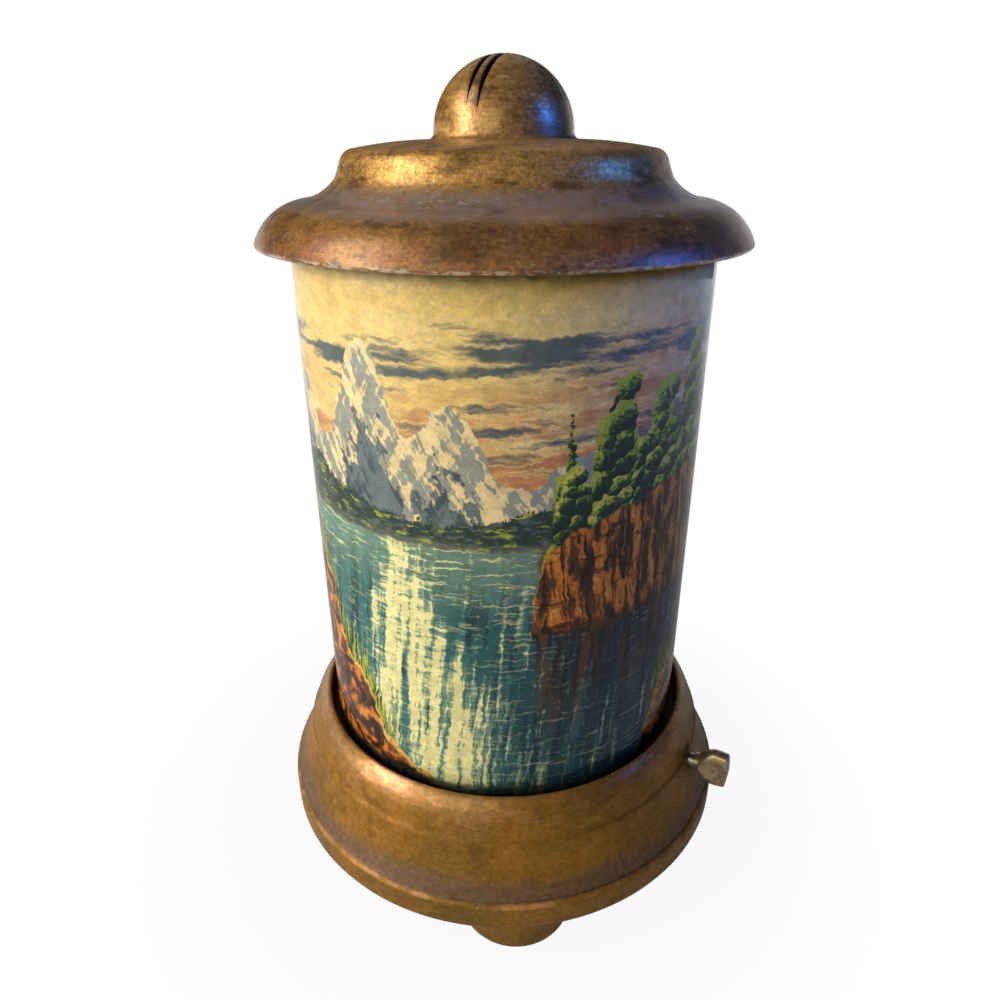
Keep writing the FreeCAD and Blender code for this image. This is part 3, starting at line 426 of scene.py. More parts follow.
def plain_metal(name, bright, dull, roughness, scratch=700.0):
    """Metal with dull stains and fine scratches."""
    material, tree, shader = finish_of(name)
    spot = place_of(tree)
    stains = step(tree, cloud(tree, spot, 160.0, 5.0, 0.6), 0.45, 0.70)
    marks = cloud(tree, place_of(tree, (scratch, scratch, scratch * 0.1)), 1.0, 3.0)
    fill(tree, shader, Base_Color=coat(tree, stains, bright, dull), Metallic=1.0,
         Roughness=step(tree, marks, 0.3, 0.7, roughness, roughness + 0.16),
         Normal=node(tree, "Bump", {"Height": marks, "Strength": 0.4, "Distance": METAL_RELIEF}).outputs[0])
    return material


brass = plain_metal("old_brass", BRASS_BRIGHT, BRASS_DULL, 0.28)
for name in ("socket_nipple", "socket_cap", "socket_shell", "terminal_screws", "screw_shell",
             "centre_contact"):
    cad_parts[name].data.materials[0] = brass
steel = plain_metal("dull_steel", STEEL_BRIGHT, STEEL_DULL, 0.34)
for name in ("nipple_locknut", "switch_shaft"):
    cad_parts[name].data.materials[0] = steel

fibre_board, tree, shader = finish_of("fibre_board")
grain = cloud(tree, place_of(tree, (300, 300, 1200)), 1.0, 4.0)
fill(tree, shader, Base_Color=coat(tree, step(tree, grain, 0.35, 0.7), BOARD_DARK, BOARD_LIGHT),
     Roughness=0.8)
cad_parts["socket_liner"].data.materials[0] = fibre_board

porcelain, tree, shader = finish_of("porcelain")
crackle = step(tree, cloud(tree, place_of(tree), 240.0, 4.0), 0.4, 0.7)
fill(tree, shader, Base_Color=coat(tree, crackle, PORCELAIN_WHITE, PORCELAIN_STAINED),
     Roughness=0.18, Coat_Weight=0.4)
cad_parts["socket_body"].data.materials[0] = porcelain

# ---- Bulb -----------------------------------------------------------------------
# A clear, blown bulb on a brass cap that screws into the socket. Its stem is pressed from lead
# glass and holds the support wires, with a zigzag of tungsten strung between them.
BULB_BRASS_BRIGHT = (0.70, 0.56, 0.30, 1)
BULB_BRASS_DULL = (0.42, 0.30, 0.14, 1)
BULB_TINT = (0.97, 0.98, 0.97, 1)
STEM_TINT = (0.93, 0.96, 0.95, 1)
TUNGSTEN_GREY = (0.20, 0.20, 0.21, 1)
TUNGSTEN_DARK = (0.11, 0.11, 0.12, 1)
TUNGSTEN_SCRATCH = 2000.0
GLASS_IOR = 1.47


def glass_finish(name, tint, roughness, ior=GLASS_IOR):
    """Clear glass that lets the lamps through to what stands behind it."""
    material, tree, shader = finish_of(name)
    smear = cloud(tree, place_of(tree), 60.0, 5.0, 0.6)
    fill(tree, shader, Base_Color=tint, Transmission_Weight=1.0, IOR=ior, Specular_IOR_Level=0.5,
         Roughness=step(tree, smear, 0.45, 0.75, roughness, roughness + 0.03))
    path = node(tree, "LightPath")
    lit = maths(tree, "MAXIMUM", path.outputs["Is Shadow Ray"], path.outputs["Is Diffuse Ray"])
    clear = node(tree, "BsdfTransparent", {"Color": tint})
    mixed = node(tree, "MixShader", {0: lit, 1: shader.outputs[0], 2: clear.outputs[0]})
    tree.links.new(mixed.outputs[0], tree.nodes["Material Output"].inputs["Surface"])
    return material


bulb_brass = plain_metal("bulb_cap_brass", BULB_BRASS_BRIGHT, BULB_BRASS_DULL, 0.24)
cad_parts["bulb_base"].data.materials[0] = bulb_brass
bulb_clear = glass_finish("bulb_clear", BULB_TINT, 0.0)
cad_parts["bulb_glass"].data.materials[0] = bulb_clear
stem_clear = glass_finish("stem_clear", STEM_TINT, 0.02)
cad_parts["bulb_stem"].data.materials[0] = stem_clear
tungsten = plain_metal("tungsten", TUNGSTEN_GREY, TUNGSTEN_DARK, 0.4, TUNGSTEN_SCRATCH)
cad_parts["bulb_filament"].data.materials[0] = tungsten

# ---- Pivot and turning shade ----------------------------------------------------
# Clear film with slanting tinted bars, glued round the hoop of a vaned fan of pressed aluminium. The
# fan's glass cup turns on a needle over the bulb, held by a wire bail clamped to the socket, and the
# bars make the bulb's light wander over the back of the picture.
FAN_BRIGHT = (0.66, 0.66, 0.65, 1)
FAN_DULL = (0.42, 0.41, 0.39, 1)
CUP_TINT = (0.90, 0.95, 0.93, 1)
FILM_CLEAR = (0.75, 0.80, 0.82, 1)
FILM_TINTED = (0.62, 0.42, 0.18, 1)
BAR_SLANT = (0.5, 0.35, 0.0)
BAR_STRETCH = (120, 120, 14)

for name in ("pivot_bracket", "bracket_screw", "pivot_needle", "rotor_bead"):
    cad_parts[name].data.materials[0] = steel
fan_metal = plain_metal("fan_sheet", FAN_BRIGHT, FAN_DULL, 0.26)
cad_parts["rotor_fan"].data.materials[0] = fan_metal
cup_clear = glass_finish("cup_clear", CUP_TINT, 0.0)
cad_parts["rotor_cup"].data.materials[0] = cup_clear

film, tree, shader = finish_of("barred_film")
slant = node(tree, "Mapping", {"Vector": place_of(tree), "Rotation": BAR_SLANT, "Scale": BAR_STRETCH})
bars = step(tree, cloud(tree, slant.outputs[0], 1.0, 3.0), 0.46, 0.58)
fill(tree, shader, Base_Color=coat(tree, bars, FILM_CLEAR, FILM_TINTED), Roughness=0.35,
     Transmission_Weight=0.35)
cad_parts["rotor_film"].data.materials[0] = film

# ---- Glass cylinder -------------------------------------------------------------
# A clear, drawn glass tube with fire-polished edges. It stands loose on the ledge inside the base's
# collar, and the cap rests on its upper end.
CYLINDER_TINT = (0.97, 0.98, 0.96, 1)
CYLINDER_IOR = 1.16

cylinder_clear = glass_finish("cylinder_clear", CYLINDER_TINT, 0.0, CYLINDER_IOR)
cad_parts["glass_cylinder"].data.materials[0] = cylinder_clear

# ---- Picture --------------------------------------------------------------------
# A translucent printed sheet, rolled inside the glass with its joint at the rear. It shows a painted
# mountain lake at sunset, a wooded bluff on the right, and the sky's light on the water.
sleeve_low, sleeve_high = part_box("picture_sleeve")
SHEET_THICK = 0.0005
SHEET_STEPS = 256
SHEET_ROWS = 12
SHEET_MERGE = 1e-6
SHEET_PRESS = 0.00035     # pressed against the glass, so that no air shows between
sheet_r = sleeve_high.x + SHEET_PRESS
sheet_h = sleeve_high.z - sleeve_low.z
round_mm = 2000 * math.pi * sheet_r
high_mm = 1000 * sheet_h

roll = bmesh.new()
outline = ((sheet_r, sleeve_low.z), (sheet_r, sleeve_high.z), (sheet_r - SHEET_THICK, sleeve_high.z),
           (sheet_r - SHEET_THICK, sleeve_low.z))
corners = [roll.verts.new((0, r, h)) for r, h in outline]
edges = [roll.edges.new((corners[i], corners[(i + 1) % 4])) for i in range(4)]
bmesh.ops.subdivide_edges(roll, edges=[edges[0], edges[2]], cuts=SHEET_ROWS)
bmesh.ops.spin(roll, geom=roll.verts[:] + roll.edges[:], cent=(0, 0, 0), axis=(0, 0, 1), angle=2 * math.pi,
               steps=SHEET_STEPS, use_merge=True)
bmesh.ops.remove_doubles(roll, verts=roll.verts, dist=SHEET_MERGE)
bmesh.ops.recalc_face_normals(roll, faces=roll.faces)
around_up = roll.loops.layers.uv.new("around_up")
for face in roll.faces:
    face.smooth = abs(face.normal.z) < 0.5
    turns = [(math.atan2(-loop.vert.co.x, loop.vert.co.y) / (2 * math.pi)) % 1.0 for loop in face.loops]
    for loop, turn in zip(face.loops, turns):
        if turn < 0.25 and max(turns) > 0.75:
            turn += 1.0
        loop[around_up].uv = (turn, (loop.vert.co.z - sleeve_low.z) / sheet_h)
picture_mesh = bpy.data.meshes.new("picture")
roll.to_mesh(picture_mesh)
roll.free()
picture = bpy.data.objects.new("picture", picture_mesh)
bpy.context.scene.collection.objects.link(picture)

SKY_CREAM = (0.80, 0.57, 0.21, 1)
SKY_YELLOW = (0.84, 0.62, 0.27, 1)
SKY_PEACH = (0.68, 0.28, 0.110, 1)
SKY_ROSE = (0.44, 0.17, 0.09, 1)
CLOUD_SLATE = (0.075, 0.105, 0.115, 1)
CLOUD_GREY = (0.19, 0.19, 0.155, 1)
PEAK_SHADE = (0.055, 0.078, 0.100, 1)
PEAK_BLUE = (0.135, 0.170, 0.185, 1)
SNOW_SHADE = (0.30, 0.31, 0.28, 1)
SNOW_LIT = (0.84, 0.66, 0.36, 1)
HILL_DARK = (0.020, 0.040, 0.036, 1)
HILL_MIST = (0.085, 0.115, 0.095, 1)
LEAF_DARK = (0.008, 0.022, 0.016, 1)
LEAF_MID = (0.045, 0.125, 0.028, 1)
LEAF_LIT = (0.36, 0.42, 0.035, 1)
LEAF_SUN = (0.70, 0.62, 0.12, 1)
ROCK_DARK = (0.022, 0.009, 0.006, 1)
ROCK_BROWN = (0.120, 0.042, 0.016, 1)
ROCK_ORANGE = (0.68, 0.21, 0.032, 1)
ROCK_SUN = (0.80, 0.46, 0.11, 1)
WATER_NIGHT = (0.006, 0.030, 0.050, 1)
WATER_DEEP = (0.014, 0.070, 0.098, 1)
WATER_TEAL = (0.045, 0.165, 0.165, 1)
WATER_PALE = (0.23, 0.36, 0.27, 1)
WATER_CREAM = (0.86, 0.79, 0.40, 1)
BORDER_DARK = (0.010, 0.030, 0.036, 1)
BRIM_SHADOW_BROWN = (0.075, 0.060, 0.022, 1)
AGE_SPOT = (0.24, 0.13, 0.06, 1)
SHORE = 92.0              # heights are in mm over the sheet's lower edge
BORDER_SOLID = 9.0
BORDER_END = 11.5
# Heights of the painted shadow that the cap's brim casts on the sheet's top edge.
BRIM_SHADOW_FROM = 161.0
BRIM_SHADOW_FULL = 166.5
BRUSH_SHAKE = 2.2
PATH_AT = 0.415           # the path of light on the water, in shares of the way round
PATH_SWAY = 0.05
PATH_FAR = 0.020
PATH_NEAR = 0.120
AGE_SPOT_PITCH = 0.010

# Outlines: the share of the way round the sheet, and the height in mm.
PEAKS = ((0.0, 118), (0.06, 130), (0.12, 108), (0.19, 122), (0.25, 112), (0.295, 133), (0.335, 116),
         (0.385, 146), (0.425, 124), (0.455, 131), (0.50, 110), (0.55, 119), (0.60, 106), (0.72, 124),
         (0.80, 108), (0.88, 132), (1.0, 118))
HILLS = ((0.0, 99), (0.10, 104), (0.22, 98), (0.30, 107), (0.37, 100), (0.45, 97), (0.52, 102),
         (0.60, 105), (0.75, 98), (0.9, 103), (1.0, 99))
BLUFF = ((0.0, 30), (0.07, 60), (0.10, 98), (0.18, 104), (0.215, 70), (0.24, 30), (0.495, 30),
         (0.512, 74), (0.532, 97), (0.58, 103), (0.66, 109), (0.75, 111), (0.83, 98), (0.87, 50),
         (1.0, 30))
ROCKS = ((0.0, 12), (0.07, 22), (0.16, 14), (0.23, 34), (0.285, 74), (0.318, 66), (0.335, 44),
         (0.365, 36), (0.385, 19), (0.425, 10), (0.47, 3), (0.58, 3), (0.625, 12), (0.665, 34),
         (0.70, 26), (0.74, 30), (0.80, 10), (0.88, 18), (1.0, 12))

painted, tree, shader = finish_of("painted_sheet")
uv = node(tree, "UVMap", uv_map="around_up").outputs[0]
flat = node(tree, "VectorMath", {0: uv, 1: (round_mm, high_mm, 0)}, operation="MULTIPLY").outputs[0]
shake = node(tree, "TexNoise", {"Vector": flat, "Scale": 0.30, "Detail": 3.0},
             noise_dimensions="2D").outputs["Color"]
shake = node(tree, "VectorMath", {0: shake, 1: (0.5, 0.5, 0.5)}, operation="SUBTRACT").outputs[0]
flat = node(tree, "VectorMath", {0: shake, 1: (BRUSH_SHAKE, BRUSH_SHAKE, 0), 2: flat},
            operation="MULTIPLY_ADD").outputs[0]


def across_and_up(point):
    """A point's share of the way round the sheet, and its height in mm."""
    parts = node(tree, "SeparateXYZ", {0: point})
    return maths(tree, "MULTIPLY", parts.outputs["X"], 1 / round_mm), parts.outputs["Y"]


around, up = across_and_up(flat)


def strokes(wide, tall, detail=3.0, lean=0.0, bend=0.0):
    """Brush strokes about so many mm wide and tall, leaning by some degrees: 0 to 1."""
    laid = node(tree, "Mapping", {"Vector": flat, "Rotation": (0, 0, math.radians(lean)),
                                  "Scale": (wide, tall, 1)}, vector_type="TEXTURE").outputs[0]
    return node(tree, "TexNoise", {"Vector": laid, "Scale": 1.0, "Detail": detail, "Roughness": 0.6,
                                   "Distortion": bend}, noise_dimensions="2D").outputs["Fac"]


def skyline(points, pitch, rough, at=None):
    """Height in mm of a drawn outline round the sheet, roughened at a pitch in mm."""
    line = tree.nodes.new("ShaderNodeFloatCurve")
    curve = line.mapping.curves[0]
    for place, high in points[1:-1]:
        curve.points.new(place, high / high_mm)
    for end, (place, high) in ((0, points[0]), (len(points) - 1, points[-1])):
        curve.points[end].location = (place, high / high_mm)
    for point in curve.points:
        point.handle_type = "AUTO_CLAMPED"
    line.mapping.update()
    at = around if at is None else at
    tree.links.new(at, line.inputs["Value"])
    drawn = maths(tree, "MULTIPLY", line.outputs[0], high_mm)
    jags = node(tree, "TexNoise", {"W": at, "Scale": round_mm / pitch, "Detail": 4.0},
                noise_dimensions="1D").outputs["Fac"]
    jags = maths(tree, "MULTIPLY", maths(tree, "SUBTRACT", jags, 0.5), rough * 2)
    return maths(tree, "ADD", drawn, jags)


def below(line, soft):
    """1 under an outline and 0 over it, with an edge that many mm soft."""
    return step(tree, maths(tree, "SUBTRACT", line, up), 0.0, soft)


def part_of(value, share):
    """A value made weaker."""
    return maths(tree, "MULTIPLY", value, share)


def sky():
    """Evening sky: cream above, peach towards the right and the horizon, slate cloud banks."""
    wash = maths(tree, "ADD", up, part_of(strokes(70, 26), 50))
    wash = maths(tree, "ADD", wash, step(tree, around, 0.40, 0.68, 14, -16))
    colour = coat(tree, step(tree, wash, 176, 140), SKY_CREAM, SKY_PEACH)
    colour = coat(tree, step(tree, strokes(48, 10, 4.0), 0.50, 0.66), colour, SKY_YELLOW)
    low_sky = step(tree, up, 150, 118)
    rosy = both(tree, step(tree, strokes(40, 9, 4.0, 3), 0.46, 0.62, 0.0, 0.8), low_sky)
    colour = coat(tree, rosy, colour, SKY_ROSE)
    bank = maths(tree, "ADD", part_of(strokes(64, 11, 2.0, 2), 0.55), part_of(strokes(24, 3.2, 4.0, 1), 0.45))
    place = maths(tree, "ADD", bank, step(tree, around, 0.36, 0.60, -0.055, 0.035))
    place = maths(tree, "ADD", place, step(tree, up, 160, 147, -0.10, 0.0))
    colour = coat(tree, step(tree, place, 0.48, 0.56, 0.0, 0.75), colour, CLOUD_GREY)
    colour = coat(tree, step(tree, place, 0.525, 0.60, 0.0, 0.95), colour, CLOUD_SLATE)
    under_lit = both(tree, step(tree, place, 0.455, 0.485), step(tree, place, 0.515, 0.485))
    return coat(tree, part_of(under_lit, 0.7), colour, SKY_YELLOW)


def mountains(under):
    """Far blue peaks with snow, lit from the left."""
    line = skyline(PEAKS, 11, 4)
    deep = maths(tree, "SUBTRACT", line, up)
    right_falls = strokes(3.4, 22, 5.0, 32)
    left_falls = strokes(3.2, 20, 5.0, -30)
    folds = maths(tree, "SUBTRACT", right_falls, part_of(left_falls, 0.55))
    colour = coat(tree, step(tree, folds, 0.18, 0.30), PEAK_BLUE, PEAK_SHADE)
    snow_low = maths(tree, "ADD", part_of(strokes(5, 9, 5.0, 25), 52), -4)
    snow = step(tree, maths(tree, "SUBTRACT", snow_low, deep), -1.0, 2.0)
    shaded = coat(tree, step(tree, folds, 0.19, 0.27), SNOW_LIT, SNOW_SHADE)
    colour = coat(tree, snow, colour, shaded)
    return coat(tree, below(line, 0.6), under, colour)


def hills(under):
    """Dark wooded hills along the far shore, with mist at their feet."""
    line = maths(tree, "ADD", skyline(HILLS, 9, 2.0), part_of(strokes(1.1, 4, 2.0), 4.0))
    colour = coat(tree, step(tree, strokes(5, 2.2, 4.0), 0.48, 0.64), HILL_DARK, HILL_MIST)
    colour = coat(tree, step(tree, strokes(7, 1.6, 4.0), 0.58, 0.66), colour, LEAF_LIT)
    mist = step(tree, maths(tree, "ADD", up, part_of(strokes(22, 3), 5)), SHORE + 5.2, SHORE + 2.0, 0.0, 0.6)
    colour = coat(tree, mist, colour, CLOUD_GREY)
    return coat(tree, below(line, 0.5), under, colour)


def lake(under):
    """Teal water under long strokes of light, deep blue on the right and darker near the shore."""
    shaded = maths(tree, "ADD", around, part_of(strokes(30, 40), 0.10))
    colour = coat(tree, step(tree, shaded, 0.42, 0.60), WATER_TEAL, WATER_DEEP)
    long_marks = strokes(3.6, 46, 4.0, -4)
    ripple = strokes(12, 1.5, 4.0, 0, 0.4)
    colour = coat(tree, step(tree, long_marks, 0.50, 0.38, 0.0, 0.9), colour, WATER_NIGHT)
    colour = coat(tree, step(tree, strokes(6, 38, 4.0, -3), 0.54, 0.66, 0.0, 0.8), colour, WATER_TEAL)
    far = step(tree, up, SHORE - 26, SHORE)
    colour = coat(tree, part_of(far, 0.55), colour, WATER_PALE)
    path_half = step(tree, up, SHORE, 6, PATH_FAR, PATH_NEAR)
    path_line = maths(tree, "ADD", part_of(strokes(90, 26), PATH_SWAY), PATH_AT - PATH_SWAY / 2)
    off_path = maths(tree, "ABSOLUTE", maths(tree, "SUBTRACT", around, path_line))
    inside = step(tree, maths(tree, "DIVIDE", off_path, path_half), 1.15, 0.25)
    broken = step(tree, up, 20, SHORE, 0.14, 0.42)
    upright = maths(tree, "ADD", part_of(strokes(3.4, 58, 4.0, -5), 0.60),
                    part_of(strokes(1.7, 24, 4.0, -7), 0.40))
    rippled = maths(tree, "MULTIPLY", maths(tree, "SUBTRACT", ripple, upright), broken)
    glint = maths(tree, "ADD", maths(tree, "ADD", upright, rippled), part_of(inside, 0.135))
    colour = coat(tree, step(tree, glint, 0.535, 0.60, 0.0, 0.85), colour, WATER_PALE)
    colour = coat(tree, step(tree, glint, 0.595, 0.650), colour, WATER_CREAM)
    crest = both(tree, step(tree, strokes(15, 1.0, 4.0, 0, 0.3), 0.60, 0.66),
                 step(tree, up, SHORE, SHORE - 30, 1.0, 0.35))
    colour = coat(tree, part_of(crest, 0.85), colour, WATER_CREAM)
    return coat(tree, step(tree, maths(tree, "SUBTRACT", SHORE, up), 0.0, 0.8), under, colour)


def rock_face(cracks, facets):
    """Brown rock: dark in its cracks, orange and sunlit on its left-hand faces."""
    colour = coat(tree, step(tree, cracks, 0.40, 0.50), ROCK_DARK, ROCK_BROWN)
    colour = coat(tree, step(tree, facets, 0.50, 0.58), colour, ROCK_ORANGE)
    return coat(tree, step(tree, facets, 0.62, 0.68, 0.0, 0.7), colour, ROCK_SUN)


def bluff(under):
    """Steep headland of cracked rock with a sunlit edge, and its reflection in the lake."""
    line = skyline(BLUFF, 8, 2.6)
    deep = maths(tree, "SUBTRACT", line, up)
    cracks = strokes(2.6, 17, 5.0, 3, 0.6)
    facets = maths(tree, "ADD", part_of(cracks, 0.6), part_of(strokes(4.4, 11, 5.0, 6), 0.5))
    facets = maths(tree, "SUBTRACT", facets, 0.03)
    colour = rock_face(cracks, facets)
    ledge = step(tree, strokes(16, 1.8, 4.0), 0.60, 0.66, 0.0, 0.8)
    colour = coat(tree, ledge, colour, ROCK_DARK)
    turf = step(tree, maths(tree, "ADD", deep, part_of(strokes(7, 2.6, 4.0), 5)), 4.6, 3.4)
    colour = coat(tree, turf, colour, coat(tree, step(tree, strokes(4, 1.4), 0.44, 0.58), LEAF_LIT, ROCK_SUN))
    foot = maths(tree, "ADD", part_of(strokes(9, 2.5, 4.0), 10), SHORE - 33)
    wet = step(tree, maths(tree, "SUBTRACT", up, foot), -0.5, 0.5)
    colour = coat(tree, step(tree, maths(tree, "SUBTRACT", up, foot), 5.0, 1.0, 0.0, 0.85), colour, ROCK_DARK)
    mirrored = both(tree, step(tree, line, SHORE - 16, SHORE - 6), step(tree, up, 16, SHORE - 34, 0.0, 0.9))
    mirrored = both(tree, mirrored, step(tree, maths(tree, "SUBTRACT", SHORE, up), 0.0, 0.8))
    mirrored = both(tree, mirrored, step(tree, strokes(3.4, 30, 4.0, -3), 0.36, 0.52, 0.25, 1.0))
    image = coat(tree, step(tree, strokes(4.2, 34, 4.0, -2), 0.50, 0.62), ROCK_DARK, ROCK_BROWN)
    under = coat(tree, mirrored, under, image)
    return coat(tree, both(tree, below(line, 0.6), wet), under, colour)


def tree_row(at, count, shift):
    """The place along a row of so many trees, and a chance value from 0 to 1 for each tree."""
    cell = maths(tree, "ADD", maths(tree, "MULTIPLY", at, count), shift)
    luck = node(tree, "TexWhiteNoise", {"W": maths(tree, "FLOOR", cell)},
                noise_dimensions="1D").outputs["Value"]
    return cell, luck


def crown_edge(at, count, tall, stand, shift):
    """Height of the top of a row of round-headed trees that stand on an outline, and of the outline."""
    cell, luck = tree_row(at, count, shift)
    aside = maths(tree, "MULTIPLY", maths(tree, "SUBTRACT", maths(tree, "FRACT", cell), 0.5), 2.0)
    arch = maths(tree, "SQRT", maths(tree, "SUBTRACT", 1.04, maths(tree, "MULTIPLY", aside, aside)))
    high = maths(tree, "MULTIPLY", arch, step(tree, luck, 0.0, 1.0, tall * 0.55, tall * 1.1))
    ground = skyline(stand, 8, 2.6, at)
    return maths(tree, "ADD", ground, maths(tree, "SUBTRACT", high, 1.0)), ground


def leaves(under, clump, count, tall, stand, shift, sun):
    """Clumps of leaves that fill a row of trees, each dark below and lit on its upper left."""
    moved = node(tree, "VectorMath", {0: flat, 1: (shift * 31, shift * 17, 0)}, operation="ADD").outputs[0]
    cells = node(tree, "TexVoronoi", {"Vector": moved, "Scale": 1 / clump, "Randomness": 0.95},
                 voronoi_dimensions="2D")
    arm = node(tree, "VectorMath", {0: moved, 1: cells.outputs["Position"]}, operation="SUBTRACT").outputs[0]
    middle = node(tree, "VectorMath", {0: flat, 1: arm}, operation="SUBTRACT").outputs[0]
    middle_around, middle_up = across_and_up(middle)
    far = node(tree, "VectorMath", {0: arm}, operation="LENGTH").outputs["Value"]
    edge, ground = crown_edge(middle_around, count, tall, stand, shift)
    taken = step(tree, maths(tree, "SUBTRACT", edge, middle_up), -0.1, 0.1)
    far = maths(tree, "ADD", far, part_of(strokes(1.5, 1.2, 4.0), clump * 0.30))
    disc = step(tree, far, clump * 0.82, clump * 0.74)
    solid_edge, ground = crown_edge(around, count, tall, stand, shift)
    solid = step(tree, maths(tree, "SUBTRACT", solid_edge, up), clump * 0.5, clump * 0.6)
    mask = maths(tree, "MAXIMUM", both(tree, taken, disc), solid)
    rooted = both(tree, step(tree, maths(tree, "SUBTRACT", up, ground), -3.2, -2.6),
                  step(tree, ground, SHORE + 1, SHORE + 3))
    toward = node(tree, "VectorMath", {0: arm, 1: (-0.55 / clump, 0.83 / clump, 0)},
                  operation="DOT_PRODUCT").outputs["Value"]
    speckle = maths(tree, "SUBTRACT", strokes(1.3, 1.1, 4.0), 0.5)
    depth_in = step(tree, maths(tree, "SUBTRACT", solid_edge, up), 0.0, tall * 0.9, 0.20, -0.34)
    light = maths(tree, "ADD", maths(tree, "ADD", toward, part_of(speckle, 1.6)), depth_in)
    colour = coat(tree, step(tree, light, -0.16, 0.06), LEAF_DARK, LEAF_MID)
    colour = coat(tree, step(tree, light, 0.16, 0.30), colour, LEAF_LIT)
    colour = coat(tree, step(tree, light, 0.38, 0.50, 0.0, sun), colour, LEAF_SUN)
    return coat(tree, both(tree, mask, rooted), under, colour)


def firs(under, count, tall, stand, shift, share):
    """A thin row of pointed firs that stand on an outline, each of its own height."""
    cell, luck = tree_row(around, count, shift)
    across = maths(tree, "FRACT", cell)
    aside = maths(tree, "MULTIPLY", maths(tree, "ABSOLUTE", maths(tree, "SUBTRACT", across, 0.5)), 2.0)
    boughs = maths(tree, "FRACT", maths(tree, "ADD", part_of(up, 0.36), part_of(strokes(5, 3), 1.2)))
    ragged = maths(tree, "ADD", part_of(boughs, 0.20), part_of(strokes(1.3, 1.1, 4.0), 0.55))
    narrow = maths(tree, "SUBTRACT", 1.15, maths(tree, "ADD", aside, ragged))
    top = maths(tree, "MULTIPLY", part_of(narrow, tall), step(tree, luck, 0.0, 1.0, 0.6, 1.1))
    foot = skyline(stand, 8, 2.6)
    mask = step(tree, maths(tree, "SUBTRACT", maths(tree, "ADD", top, foot), up), 0.0, 0.7)
    mask = both(tree, mask, step(tree, maths(tree, "SUBTRACT", up, foot), -4.0, -2.5))
    mask = both(tree, mask, step(tree, foot, SHORE - 2, SHORE + 3))
    mask = both(tree, mask, step(tree, luck, 1.0 - share, 1.001 - share))
    light = maths(tree, "SUBTRACT", strokes(2.0, 1.5, 4.0), maths(tree, "MULTIPLY", across, 0.14))
    colour = coat(tree, step(tree, light, 0.34, 0.46), LEAF_DARK, LEAF_MID)
    colour = coat(tree, step(tree, light, 0.47, 0.54), colour, LEAF_LIT)
    return coat(tree, mask, under, colour)


def near_shore(under):
    """Rocks in the foreground with the light on their upper sides, and reeds behind them."""
    line = skyline(ROCKS, 7, 4)
    reeds = maths(tree, "ADD", line, maths(tree, "SUBTRACT", part_of(strokes(1.0, 26, 3.0, -7), 44), 12))
    reeds = both(tree, below(reeds, 0.8), step(tree, line, 12, 22))
    blade = coat(tree, step(tree, strokes(0.9, 16, 3.0, -6), 0.46, 0.56), LEAF_DARK, LEAF_LIT)
    colour = coat(tree, reeds, under, blade)
    deep = maths(tree, "SUBTRACT", line, up)
    lumps = strokes(9, 7, 5.0, 20, 0.8)
    facets = maths(tree, "ADD", part_of(lumps, 0.62), part_of(strokes(3.2, 5.5, 5.0, 24), 0.38))
    rock = rock_face(lumps, facets)
    lit = step(tree, maths(tree, "ADD", deep, part_of(strokes(5, 3, 4.0), 8)), 7.2, 5.2)
    rock = coat(tree, lit, rock, ROCK_SUN)
    return coat(tree, below(line, 0.6), colour, rock)


colour = sky()
colour = mountains(colour)
colour = hills(colour)
colour = lake(colour)
colour = firs(colour, 47, 40, BLUFF, 0.3, 0.5)
colour = leaves(colour, 6.5, 23, 34, BLUFF, 0.35, 0.3)
colour = bluff(colour)
colour = leaves(colour, 4.6, 31, 17, BLUFF, 0.80, 1.0)
colour = near_shore(colour)
border = maths(tree, "ADD", up, part_of(strokes(20, 6), 4))
border = step(tree, border, BORDER_END, BORDER_SOLID, 0.0, 0.85)
colour = coat(tree, border, colour, BORDER_DARK)
# Painted shadow of the cap's brim: the sheet's top edge is darkened brown all round.
painted_brim_shadow = maths(tree, "ADD", up, part_of(strokes(14, 5), 3))
painted_brim_shadow = step(tree, painted_brim_shadow, BRIM_SHADOW_FROM, BRIM_SHADOW_FULL, 0.0, 0.80)
colour = coat(tree, painted_brim_shadow, colour, BRIM_SHADOW_BROWN)
spot = place_of(tree)
spots = part_of(specks(tree, spot, AGE_SPOT_PITCH, 0.12), 0.35)
colour = coat(tree, spots, colour, AGE_SPOT)
colour = toned(tree, colour, strokes(5, 4, 5.0), 0.86, 1.12)
colour = toned(tree, colour, cloud(tree, spot, 1600.0, 2.0), 0.90, 1.08)
fill(tree, shader, Base_Color=colour, Roughness=0.42, Specular_IOR_Level=0.3)
picture_mesh.materials.append(painted)
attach(picture, "glass")
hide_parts("picture_sleeve")

# ---- Cap casting ----------------------------------------------------------------
# A vented cap that rests on the glass, cast like the base and painted darker: gold on the shoulder
# and the dome, purple-grey where hands have worn the brim, and chipped to bright metal along the
# brim's lower edge.
CAP_OLIVE = (0.300, 0.142, 0.030, 1)
CAP_DARK = (0.085, 0.038, 0.016, 1)
CAP_RED = (0.215, 0.062, 0.022, 1)
CAP_GOLD = (0.74, 0.410, 0.108, 1)
CAP_PURPLE = (0.190, 0.110, 0.088, 1)
CAP_DUSTY = (0.33, 0.27, 0.22, 1)
COVE_LOW_Z = 0.2160
COVE_HIGH_Z = 0.2212
DRUM_LOW_Z = 0.2215
DRUM_HIGH_Z = 0.2325
BRIM_EDGE_Z = 0.2058
BRIM_LOW_Z = 0.2120
SHOULDER_Z = 0.2185
DOME_Z = 0.2334
DOME_R = 0.0200
# Below this depth under the dome's skin, the slot walls and the dome's inside are painted shade.
SLOT_LIP = 0.00012        # depth to which the paint reaches into the slots
CAP_PIT = 0.0011
CAP_DUST_PITCH = 0.0050
CAP_RELIEF = 0.00036

